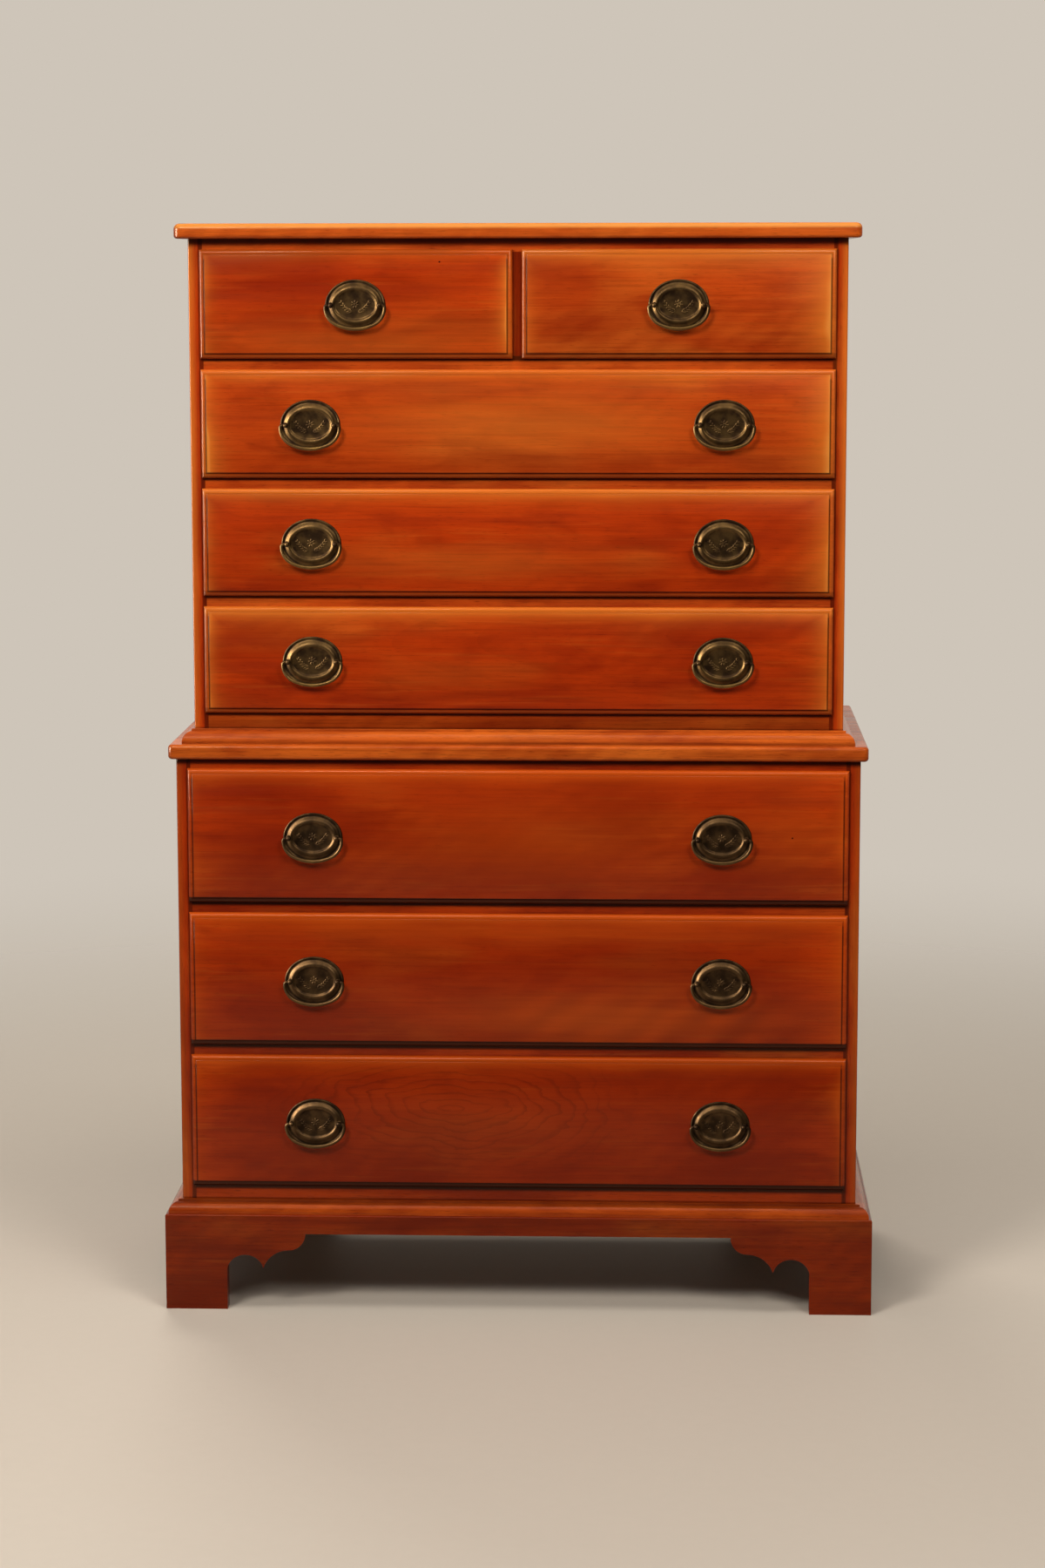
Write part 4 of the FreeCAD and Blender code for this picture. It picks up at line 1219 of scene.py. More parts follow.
@dataclass
class BackNails:
    """Round nail heads along the edges of a back panel."""

    node: str
    spacing: float = 90 * MM
    inset: float = 9 * MM
    head_radius: float = 2.6 * MM
    head_rise: float = 0.7 * MM
    bright: float = 0.1

    def build(self, material: Material) -> None:
        """Models one head, sets copies round the panel and dresses them.

        Args:
            material: their finish.
        """
        low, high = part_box(self.node)
        wide = high.x - low.x - 2 * self.inset
        tall = high.z - low.z - 2 * self.inset
        across = round(wide / self.spacing)
        up = round(tall / self.spacing)
        spots = [(wide * step / across - wide / 2, side) for step in range(across + 1) for side in (0, tall)]
        spots += [(side, tall * step / up) for step in range(1, up) for side in (-wide / 2, wide / 2)]
        bpy.ops.object.select_all(action="DESELECT")
        bpy.ops.mesh.primitive_uv_sphere_add(segments=8, ring_count=6, radius=self.head_radius)
        head = named("nail_head")
        with editing(head):
            bpy.ops.mesh.select_all(action="SELECT")
            resize((1, self.head_rise / self.head_radius, 1), (0, 0, 0))
        heads = [copied(head, "nail", Vector((x, high.y, low.z + self.inset + z))) for x, z in spots]
        bpy.data.objects.remove(head)
        nails = join(f"{self.node}_nails", heads)
        round_shade(nails)
        wear(nails, lambda point: self.bright)
        seat(nails, "case", "antique_brass", material)


@dataclass(frozen=True)
class CarcaseLook:
    """How one carcase is worn, where painted light and shade lie on it, and the nodes that stand over and
    under it.
    """

    chest: str
    roof: str
    foot: str
    # How pale the front edges of its sides are, with wear and a painted highlight, how pale its rails are,
    # and the rails' share of light
    edge_pale: float
    rail_pale: float
    rail_light: float
    # How far the painted shade under each drawer's lip reaches down a rail
    sill_reach: float
    # How far painted shade darkens the lowest rail besides, above its joint, and how dark
    rail_joints: tuple[tuple[float, float], ...] = ()


CARCASES = (
    CarcaseLook("lower", "waist_board", "base_moulding", 0.25, 0.05, 0.88, 7 * MM),
    CarcaseLook("upper", "top_board", "waist_moulding", 0.75, 0.25, 1.0, 5 * MM, ((26 * MM, 0.4),)),
)


@dataclass
class Case:
    """The two carcases, their boards and mouldings and the bracket base."""

    brass: Material
    pale: Material
    panel: Material
    # How far painted shade reaches under a top, above a joint and under a drawer's lip, and how dark it is
    roof_dark: tuple[float, float] = (11 * MM, 0.85)
    joint_dark: tuple[float, float] = (3 * MM, 0.5)
    sill_dark: float = 0.9

    def dress_carcase(self, look: CarcaseLook) -> None:
        """Dresses the sides, rails, runners and panels of one carcase.

        Args:
            look: which carcase it is, how it is worn and where painted light and shade lie on it.
        """
        chest = look.chest
        side_low, side_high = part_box(f"{chest}_right_side")
        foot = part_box(look.foot)[1].z
        fronts = [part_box(drawer.front) for drawer in Drawer if drawer.chest == chest]
        # Painted shade under the top, above the moulding joint and under each drawer's lip
        sills = sorted({round(low.z, 5) for low, high in fronts})
        shade = (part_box(look.roof)[0].z, *self.roof_dark)
        joint = (foot, *self.joint_dark)
        sides = cherry(
            f"{chest}_sides", Grain.UPRIGHT, pith=(0.1, 0.34, 0.5), edge_half=side_high.x,
            edge_front=side_low.y, edge_pale=look.edge_pale, crevices=(shade,), joints=(joint,),
            crevice_half=max(high.x for low, high in fronts))
        rails = cherry(
            f"{chest}_rails", Grain.ACROSS, pith=(0.2, -0.05, 0.2), seam_half=side_low.x,
            pale_base=look.rail_pale, stain_light=look.rail_light,
            crevices=(shade, *((sill, look.sill_reach, self.sill_dark) for sill in sills)),
            joints=(joint, *((foot, *dark) for dark in look.rail_joints)))
        dress(f"{chest}_right_side", sides)
        dress(f"{chest}_left_side", sides)
        dress(f"{chest}_drawer_rails", rails)
        dress(f"{chest}_runners", self.pale)
        dress(f"{chest}_bottom_panel", self.pale)
        dress(f"{chest}_back_panel", self.panel)

    def dress_base(self) -> None:
        """Dresses the partition and the pieces of the bracket base."""
        partition = cherry("partition", Grain.UPRIGHT, pith=(0.3, 0.1, 1.2), stain_light=0.55)
        dress("top_drawer_partition", partition)
        front = cherry("front_bracket", Grain.ACROSS, pith=(0, -0.1, -0.2), stain_light=0.62)
        dress("front_bracket_base", front)
        low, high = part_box("right_bracket_base")
        sides = cherry(
            "side_brackets", Grain.DEEP, pith=(0, 0, -0.15), stain_light=0.66, edge_half=high.x,
            edge_front=low.y, edge_pale=0.2)
        dress("right_bracket_base", sides)
        dress("left_bracket_base", sides)
        dress("rear_bracket_braces", self.pale)
        dress("foot_glue_blocks", self.pale)

    def dress(self) -> None:
        """Dresses the nodes that keep the model's own shape."""
        for look in CARCASES:
            self.dress_carcase(look)
        self.dress_base()

    def build(self) -> None:
        """Models the boards, mouldings and nails."""
        low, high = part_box("top_board")
        top = cherry(
            "top_board", Grain.ACROSS, pith=(0.1, 0.1, 1.2), pale_base=0.42, darkness=0.2,
            arris=(low.y, high.z))
        EdgedBoard("top_board", 7 * MM, 4 * MM).build(top)
        waist = cherry("waist_board", Grain.ACROSS, pith=(0.3, 0.0, 0.6), pale_base=0.5, darkness=0.3)
        EdgedBoard("waist_board", 4.5 * MM, 4.5 * MM).build(waist)
        side = cherry("side_mouldings", Grain.DEEP, pith=(0, 0, 0.4), pale_base=0.5, darkness=0.3)
        base_run = Moulding("base_moulding", 1.5 * MM, 12.5 * MM, 11.5 * MM, 2.5 * MM, 5 * MM)
        # Painted shade under the fillet of the base moulding
        under_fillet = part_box("base_moulding")[1].z - base_run.fillet_height
        base = cherry(
            "base_mouldings", Grain.ACROSS, pith=(0, -0.1, 0.3), pale_base=0.3, darkness=0.4,
            crevices=((under_fillet, 3.5 * MM, 0.5),))
        base_run.build(base, side)
        waist_run = Moulding("waist_moulding", 1 * MM, 14 * MM, 11.5 * MM, 3 * MM, 3.4 * MM)
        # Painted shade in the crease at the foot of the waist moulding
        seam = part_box("waist_moulding")[0].z
        front = cherry(
            "front_mouldings", Grain.ACROSS, pith=(0, -0.1, 0.4), pale_base=0.5, darkness=0.3,
            joints=((seam, 6 * MM, 0.45),))
        waist_run.build(front, side)
        for look in CARCASES:
            BackNails(f"{look.chest}_back_panel").build(self.brass)


# Drawers and their pulls


class Drawer(Enum):
    """The drawers, with how many dovetails join each corner and which pulls they carry."""

    TOP_LEFT = ("top_left", 3, ("",))
    TOP_RIGHT = ("top_right", 3, ("",))
    UPPER_FIRST = ("upper_first", 3, ("_left", "_right"))
    UPPER_SECOND = ("upper_second", 3, ("_left", "_right"))
    UPPER_THIRD = ("upper_third", 3, ("_left", "_right"))
    LOWER_FIRST = ("lower_first", 4, ("_left", "_right"))
    LOWER_SECOND = ("lower_second", 4, ("_left", "_right"))
    LOWER_THIRD = ("lower_third", 4, ("_left", "_right"))

    def __init__(self, label: str, tails: int, hands: tuple[str, ...]) -> None:
        """Names the facts of one drawer.

        Args:
            label: the start of its nodes' names.
            tails: how many dovetails join each corner.
            hands: the ends of its bails' names.
        """
        self.label = label
        self.tails = tails
        self.hands = hands

    @property
    def chest(self) -> str:
        """The carcase that the drawer slides in."""
        return "lower" if self.label.startswith("lower") else "upper"

    @property
    def front(self) -> str:
        """The node of the drawer's front."""
        return f"{self.label}_drawer_front"

    @property
    def bails(self) -> list[str]:
        """The nodes, and bodies, of the drawer's bails."""
        return [f"{self.label}_bail{hand}" for hand in self.hands]


@dataclass
class PullSizes:
    """Sizes that the plate, the posts and the bail of a pull share."""

    half_width: float = 38 * MM
    half_height: float = 32 * MM
    rise: float = 4.4 * MM
    post_offset: float = 30.5 * MM
    post_radius: float = 2.3 * MM
    post_fit: float = 0.15 * MM
    ball_radius: float = 3.4 * MM
    standoff: float = 8.8 * MM
    nut_radius: float = 5.2 * MM
    nut_height: float = 3.5 * MM
    nut_round: float = 0.5 * MM
    post_tail: float = 1.5 * MM
    collar_radius: float = 2.9 * MM
    collar_wire: float = 0.8 * MM
    # The share of the plate's rise that the collar's middle stands at
    collar_share: float = 0.8
    rod_radius: float = 2.1 * MM
    pin_radius: float = 1.4 * MM
    pin_length: float = 6 * MM
    bail_half: float = 37.4 * MM
    bail_drop: float = 29.5 * MM
    bend_radius: float = 3.2 * MM
    side_radius: float = 23 * MM

    def middle(self, bail: str) -> Vector:
        """Returns the middle of a pull's pivot line, found from its bail's node."""
        low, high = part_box(bail)
        return Vector(((low.x + high.x) / 2, (low.y + high.y) / 2, high.z - self.rod_radius))


# Rings of the oval plate from its edge to its dished middle:
# share of the half width, share of the half height, share of the rise
PLATE_RING_SHARES = (
    (1.000, 1.000, 0.16), (0.992, 0.991, 0.29), (0.974, 0.970, 0.38), (0.954, 0.947, 0.36),
    (0.940, 0.930, 0.25), (0.922, 0.910, 0.16), (0.885, 0.872, 0.19), (0.848, 0.836, 0.34),
    (0.817, 0.795, 0.60), (0.788, 0.738, 0.86), (0.760, 0.685, 0.98), (0.738, 0.642, 1.00),
    (0.714, 0.602, 0.93), (0.696, 0.568, 0.74), (0.682, 0.542, 0.59), (0.640, 0.502, 0.53),
    (0.500, 0.390, 0.48), (0.250, 0.195, 0.46),
)


class RubbedZone(Enum):
    """Zones of the plate that hands and polish reach.

    Each has the ovals that it lies between, as squares of their share of the plate, the share of the
    rise that it lies over and how bright it is rubbed.
    """

    LEAVES = (0.0, 0.25, 0.52, 0.24)
    DISH = (0.0, 0.35, -math.inf, 0.2)
    SLOPE = (0.4, 0.74, -math.inf, 0.32)
    BEAD = (0.88, math.inf, 0.33, 0.26)

    def __init__(self, inner: float, outer: float, above: float, bright: float) -> None:
        """Names the facts of one zone.

        Args:
            inner, outer: squares of the ovals that it lies between.
            above: the share of the rise that it lies over.
            bright: how far its patina is rubbed off.
        """
        self.inner = inner
        self.outer = outer
        self.above = above
        self.bright = bright


@dataclass
class PullPlate:
    """An oval back plate with a rim bead, a raised ring and a leafy spray in its dished middle."""

    sizes: PullSizes
    front_thickness: float
    points: int = 72
    # The flower: its height on the plate, its eye, and the reach, length and width of its petals
    petals: int = 7
    flower_lift: float = 1.2 * MM
    eye: float = 4.2 * MM
    petal_reach: float = 3.6 * MM
    petal_length: float = 4.4 * MM
    petal_width: float = 2.6 * MM
    # A branch: where it starts, how far it runs, and its leaves from the first to the last
    leaves: int = 6
    branch_start: tuple[float, float] = (4 * MM, -8.5 * MM)
    branch_run: tuple[float, float] = (13 * MM, 11 * MM)
    branch_curve: float = 1.6
    leaf_lengths: tuple[float, float] = (6.4 * MM, 4.4 * MM)
    leaf_leans: tuple[float, float] = (0.25, 0.75)
    leaf_width: float = 2.3 * MM
    leaf_rise: float = 1.1 * MM
    # How far a pair of leaves spreads, upwards and downwards, and how far out its middles stand
    forks: tuple[float, float] = (0.7, -0.55)
    leaf_share: float = 1 / 2.4
    # How bright the posts, the raised ring's crest and all the rest are rubbed
    post_bright: float = 0.16
    crest_bright: float = 0.34
    base_bright: float = 0.12
    # Shares of the rise: the crest is the uppermost part, and what stands out further is on the posts
    crest_share: float = 0.25
    post_share: float = 1.02
    round_angle: float = math.radians(48)

    def plate(self) -> Piece:
        """Models the bare plate.

        Returns:
            The plate about its middle, on the drawer's field, facing -Y.
        """
        sizes = self.sizes
        bpy.ops.object.select_all(action="DESELECT")
        bpy.ops.mesh.primitive_circle_add(
            vertices=self.points, radius=1, fill_type="NGON", rotation=(math.pi / 2, 0, 0))
        plate = named("plate", (sizes.half_width, sizes.half_height, 1))
        with editing(plate):
            bpy.ops.mesh.select_all(action="SELECT")
            width, height, rise = 1.0, 1.0, 0.0
            for wide_share, high_share, rise_share in PLATE_RING_SHARES:
                extrude((0, -(rise_share - rise) * sizes.rise, 0))
                resize((wide_share / width, 1, high_share / height), (0, 0, 0))
                width, height, rise = wide_share, high_share, rise_share
            bpy.ops.mesh.poke()
        return plate

    def leaf(self, x: float, z: float, length: float, width: float, turn: float) -> Piece:
        """Models one low leaf of the stamped spray.

        Args:
            x, z: its middle on the plate.
            length, width: its own size.
            turn: how far it turns from lying along X.

        Returns:
            The leaf, half sunk into the dish.
        """
        floor = -PLATE_RING_SHARES[-1][2] * self.sizes.rise
        bpy.ops.object.select_all(action="DESELECT")
        bpy.ops.mesh.primitive_uv_sphere_add(
            segments=10, ring_count=6, radius=0.5, location=(x, floor, z), rotation=(0, -turn, 0))
        return named("leaf", (length, self.leaf_rise, width))

    def flower(self) -> list[Piece]:
        """Models a round flower.

        Returns:
            Its eye and its petals.
        """
        pieces = [self.leaf(0, self.flower_lift, self.eye, self.eye, 0)]
        for petal in range(self.petals):
            way = 2 * math.pi * petal / self.petals + math.pi / 2
            x = self.petal_reach * math.cos(way)
            z = self.petal_reach * math.sin(way) + self.flower_lift
            pieces.append(self.leaf(x, z, self.petal_length, self.petal_width, way))
        return pieces

    def branch(self, side: int) -> list[Piece]:
        """Models a leafy branch beside the flower.

        Args:
            side: 1 for the branch on the right, -1 for the one on the left.

        Returns:
            Its leaves, in pairs.
        """
        pieces = []
        for index in range(self.leaves):
            share = index / (self.leaves - 1)
            x = self.branch_start[0] + self.branch_run[0] * share
            z = self.branch_start[1] + self.branch_run[1] * share ** self.branch_curve
            length = between(*self.leaf_lengths, share)
            for spread in self.forks:
                turn = between(*self.leaf_leans, share) + spread
                out = length * self.leaf_share
                pieces.append(self.leaf(
                    side * (x + math.cos(turn) * out), z + math.sin(turn) * out,
                    length, self.leaf_width, turn if side > 0 else math.pi - turn))
        return pieces

    def post(self, sign: int) -> list[Piece]:
        """Models a ball-headed post with its collar and nut.

        Args:
            sign: 1 on the right of the plate, -1 on its left.

        Returns:
            The stem, the ball, the collar and the nut.
        """
        sizes = self.sizes
        x = sign * sizes.post_offset
        inside = self.front_thickness + sizes.nut_height + sizes.post_tail
        along_y = (math.pi / 2, 0, 0)
        bpy.ops.object.select_all(action="DESELECT")
        bpy.ops.mesh.primitive_cylinder_add(
            vertices=20, radius=sizes.post_radius, depth=inside + sizes.standoff,
            location=(x, (inside - sizes.standoff) / 2, 0), rotation=along_y)
        stem = named("stem")
        with editing(stem):
            choose(Part.EDGE, lambda a, b: flat(a, b, Axis.Y, inside))
            bevel(sizes.nut_round, 2)
        bpy.ops.object.select_all(action="DESELECT")
        bpy.ops.mesh.primitive_uv_sphere_add(
            segments=24, ring_count=14, radius=sizes.ball_radius, location=(x, -sizes.standoff, 0),
            rotation=along_y)
        ball = named("ball")
        bpy.ops.object.select_all(action="DESELECT")
        bpy.ops.mesh.primitive_torus_add(
            major_radius=sizes.collar_radius, minor_radius=sizes.collar_wire, major_segments=24,
            minor_segments=8, location=(x, -sizes.rise * sizes.collar_share, 0), rotation=along_y)
        collar = named("collar")
        bpy.ops.object.select_all(action="DESELECT")
        bpy.ops.mesh.primitive_cylinder_add(
            vertices=6, radius=sizes.nut_radius, depth=sizes.nut_height,
            location=(x, self.front_thickness + sizes.nut_height / 2, 0), rotation=along_y)
        nut = named("nut")
        with editing(nut):
            bpy.ops.mesh.select_all(action="SELECT")
            bevel(sizes.nut_round, 2)
        return [stem, ball, collar, nut]

    def rubbed(self, point: Vector) -> float:
        """Tells how far the patina is rubbed off.

        Args:
            point: a point of the plate or its posts.

        Returns:
            0 for dark patina to 1 for bright metal.
        """
        share = -point.y / self.sizes.rise
        if share > self.post_share:
            return self.post_bright
        oval = (point.x / self.sizes.half_width) ** 2 + (point.z / self.sizes.half_height) ** 2
        crest = self.crest_bright * (share - 1 + self.crest_share) / self.crest_share
        zones = [zone.bright for zone in RubbedZone if zone.inner <= oval < zone.outer and share > zone.above]
        return max(crest, self.base_bright, *zones)

    def build(self) -> Piece:
        """Models the whole pull but its bail.

        Returns:
            The pull, about the middle of its plate.
        """
        pieces = [self.plate(), *self.flower()]
        for sign in (-1, 1):
            pieces += self.branch(sign)
        for sign in (-1, 1):
            pieces += self.post(sign)
        pull = join("pull", pieces)
        wear(pull, self.rubbed)
        round_shade(pull, self.round_angle)
        return pull


@dataclass
class Bail:
    """A bail bent from one rod, thickest in the middle of its grip."""

    sizes: PullSizes
    points: int = 16
    grip_steps: int = 20
    side_steps: int = 8
    end_steps: int = 6
    # How many times as thick the middle of the grip is
    swell: float = 1.22
    # How bright its pins are rubbed, and the grip
    pin_bright: float = 0.2
    grip_bright: float = 0.6
    round_angle: float = math.radians(50)

    @property
    def side_x(self) -> float:
        """How far out the centres of its side arcs stand."""
        return self.sizes.bail_half - self.sizes.side_radius

    def grip(self) -> Triple:
        """Finds the arc of the grip, which runs on smoothly from the side arcs.

        Returns:
            Its radius, the height of its centre and half its sweep.
        """
        fall = self.sizes.bail_drop - self.sizes.bend_radius
        squares = self.side_x ** 2 + fall ** 2 - self.sizes.side_radius ** 2
        radius = squares / (2 * (fall - self.sizes.side_radius))
        centre = radius - self.sizes.bail_drop
        return radius, centre, math.atan2(self.side_x, centre + self.sizes.bend_radius)

    def build(self) -> Piece:
        """Models the bail by bending a ring along its arcs.

        Returns:
            The bail, about the middle of its pivot line.
        """
        sizes = self.sizes
        start = sizes.bail_half - sizes.bend_radius
        bend_z = -sizes.bend_radius
        radius, centre, half_sweep = self.grip()
        side_sweep = math.pi / 2 - half_sweep
        bends = (
            (-start, bend_z, math.pi / 2, self.end_steps),
            (-self.side_x, bend_z, side_sweep, self.side_steps),
            (0, centre, 2 * half_sweep, self.grip_steps),
            (self.side_x, bend_z, side_sweep, self.side_steps),
            (start, bend_z, math.pi / 2, self.end_steps),
        )
        bpy.ops.object.select_all(action="DESELECT")
        bpy.ops.mesh.primitive_circle_add(
            vertices=self.points, radius=sizes.pin_radius, fill_type="NGON",
            location=(sizes.pin_length - start, 0, 0), rotation=(0, math.pi / 2, 0))
        bail = named("bail")
        with editing(bail):
            bpy.ops.mesh.select_all(action="SELECT")
            extrude((-sizes.pin_length, 0, 0))
            extrude((0, 0, 0))
            grow = sizes.rod_radius / sizes.pin_radius
            resize((1, grow, grow), (-start, 0, 0))
            for x, z, angle, steps in bends:
                bpy.ops.mesh.spin(steps=steps, angle=angle, center=(x, 0, z), axis=(0, 1, 0))
            extrude((0, 0, 0))
            resize((1, 1 / grow, 1 / grow), (start, 0, 0))
            extrude((-sizes.pin_length, 0, 0))
            bpy.ops.mesh.select_all(action="SELECT")
            bpy.ops.mesh.remove_doubles(threshold=SAME_PLANE / 10)
            bpy.ops.mesh.normals_make_consistent(inside=False)
            self.swell_grip(radius, centre, half_sweep)
        wear(bail, self.rubbed)
        round_shade(bail, self.round_angle)
        return bail

    def swell_grip(self, radius: float, centre: float, half_sweep: float) -> None:
        """Thickens the grip in edit mode, ring by ring towards its middle.

        Args:
            radius: radius of the grip's arc, along the rod's middle.
            centre: height of that arc's centre.
            half_sweep: half of its sweep.
        """
        for step in range(1, self.grip_steps):
            share = 2 * step / self.grip_steps - 1
            turn = share * half_sweep
            middle = Vector((radius * math.sin(turn), 0, centre - radius * math.cos(turn)))
            along = Vector((math.cos(turn), 0, math.sin(turn)))
            choose(Part.VERTEX, lambda spot, _: (
                abs((spot - middle).dot(along)) < SAME_PLANE
                and (spot - middle).length < 2 * self.sizes.rod_radius))
            thicker = between(1, self.swell, 1 - share ** 2)
            resize((thicker, thicker, thicker), middle)

    def rubbed(self, point: Vector) -> float:
        """Returns how far the patina is rubbed off at a point, 0 to 1."""
        return between(self.pin_bright, self.grip_bright, min(1.0, max(0.0, -point.z / self.sizes.bail_drop)))


@dataclass
class DrawerFront:
    """A lipped drawer front with a raised field, dovetail sockets and holes for its pulls."""

    drawer: Drawer
    sizes: PullSizes
    overlay: float = 3.5 * MM
    lip_thickness: float = 7.5 * MM
    lip_round: float = 5 * MM
    field_inset: float = 6.4 * MM
    field_step: float = 1.2 * MM
    field_round: float = 0.8 * MM
    fit: float = 1 * MM
    side_thickness: float = 11 * MM
    runner_fit: float = 0.3 * MM
    top_gap: float = 5 * MM
    tail_length: float = 8 * MM
    tail_flare: float = 1.6 * MM
    tail_share: float = 0.5
    groove_lift: float = 11.3 * MM
    groove_height: float = 6 * MM
    groove_depth: float = 5 * MM

    def slab(self, low: Vector, high: Vector) -> Piece:
        """Models the lip, the field and the core.

        Args:
            low, high: corners of the front's node.

        Returns:
            The front, before anything is cut into it.
        """
        lip_face = low.y + self.field_step
        lip_back = lip_face + self.lip_thickness
        front = block(f"{self.drawer.label}_front", (low.x, lip_face, low.z), (high.x, lip_back, high.z))
        with editing(front):
            choose(Part.EDGE, lambda a, b: flat(a, b, Axis.Y, lip_face))
            bevel(self.lip_round, 7)
            choose(Part.FACE, lambda a, b: flat(a, b, Axis.Y, lip_face))
            bpy.ops.mesh.inset(thickness=self.field_inset - self.lip_round, depth=0)
            extrude((0, -self.field_step, 0))
            choose(Part.EDGE, lambda a, b: flat(a, b, Axis.Y, low.y))
            bevel(self.field_round, 3)
            choose(Part.FACE, lambda a, b: flat(a, b, Axis.Y, lip_back))
            bpy.ops.mesh.inset(thickness=self.overlay + self.fit, depth=0)
            extrude((0, high.y - lip_back, 0))
        return front

    def tail(self, sign: int, wood_end: float, back: float, middle: float, root: float) -> Piece:
        """Models the block that cuts one dovetail's socket.

        Args:
            sign: 1 at the front's right end, -1 at its left.
            wood_end: the core's end there.
            back: the core's back face.
            middle: the dovetail's height.
            root: half its width at the root.

        Returns:
            The block, flared towards its tip.
        """
        tip = back - self.tail_length
        near, far = sorted((wood_end + sign * OVERRUN, wood_end - sign * self.side_thickness))
        socket = block("socket", (near, tip, middle - root), (far, back, middle + root))
        with editing(socket):
            choose(Part.FACE, lambda a, b: flat(a, b, Axis.Y, tip))
            resize((1, 1, (root + self.tail_flare) / root), ((near + far) / 2, tip, middle))
            choose(Part.FACE, lambda a, b: flat(a, b, Axis.Y, back))
            extrude((0, OVERRUN, 0))
        return socket

    def build(self) -> Piece:
        """Models the front in the place of its node.

        Returns:
            The front.
        """
        low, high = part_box(self.drawer.front)
        front = self.slab(low, high)
        floor = low.z + self.overlay
        side_top = high.z - self.overlay - self.top_gap - floor
        pitch = (side_top - self.runner_fit) / self.drawer.tails
        cutters = []
        for sign, end in ((-1, low.x), (1, high.x)):
            wood_end = end - sign * (self.overlay + self.fit)
            for index in range(self.drawer.tails):
                middle = floor + self.runner_fit + pitch * (index + 0.5)
                cutters.append(self.tail(sign, wood_end, high.y, middle, pitch * self.tail_share / 2))
        for bail in self.drawer.bails:
            spot = self.sizes.middle(bail)
            for sign in (-1, 1):
                bpy.ops.object.select_all(action="DESELECT")
                bpy.ops.mesh.primitive_cylinder_add(
                    vertices=20, radius=self.sizes.post_radius + self.sizes.post_fit,
                    depth=high.y - low.y + 2 * OVERRUN, rotation=(math.pi / 2, 0, 0),
                    location=(spot.x + sign * self.sizes.post_offset, (low.y + high.y) / 2, spot.z))
                cutters.append(named("post_hole"))
        carve(front, join("sockets", cutters))
        inner = self.overlay + self.fit + self.side_thickness - OVERRUN
        groove_z = floor + self.groove_lift
        carve(front, block(
            "groove", (low.x + inner, high.y - self.groove_depth, groove_z),
            (high.x - inner, high.y + OVERRUN, groove_z + self.groove_height)))
        round_shade(front)
        return front


@dataclass(frozen=True)
class FrontLook:
    """What sets the wood of one drawer front apart from the others.

    The pith is the middle of the growth rings, measured from the middle of the front's face.
    """

    pith: Triple
    # How pale the left end, the right end and the upper edge are rubbed
    pale_edges: Triple
    ring_depth: float = 0.07
    ring_spacing: float = 10 * MM
    ring_reach: float = 0.0
    ring_wobble: float = 5.0
    lean: float = 0.3
    paleness: float = 0.3
    darkness: float = 0.55
    curl_depth: float = 0.2
    curl_spacing: float = 23 * MM
    # Where the curl lies and how far it reaches on each side, where it doesn't lie in patches
    curl_middle: float = 0.0
    curl_reach: float = 0.0
    # Share of the front's height that the curl stays under
    curl_share: float = 1.0
    pale_halves: tuple[float, float] = (5 * MM, 5 * MM)
    toned: float = 0.15
    # How dark the painted shade under the lower lip is
    under_dark: float = 0.4
    pale_base: float = 0.0
    rubbed_stain: Colour = RUBBED_STAIN
    patches: tuple[Patch, ...] = ()


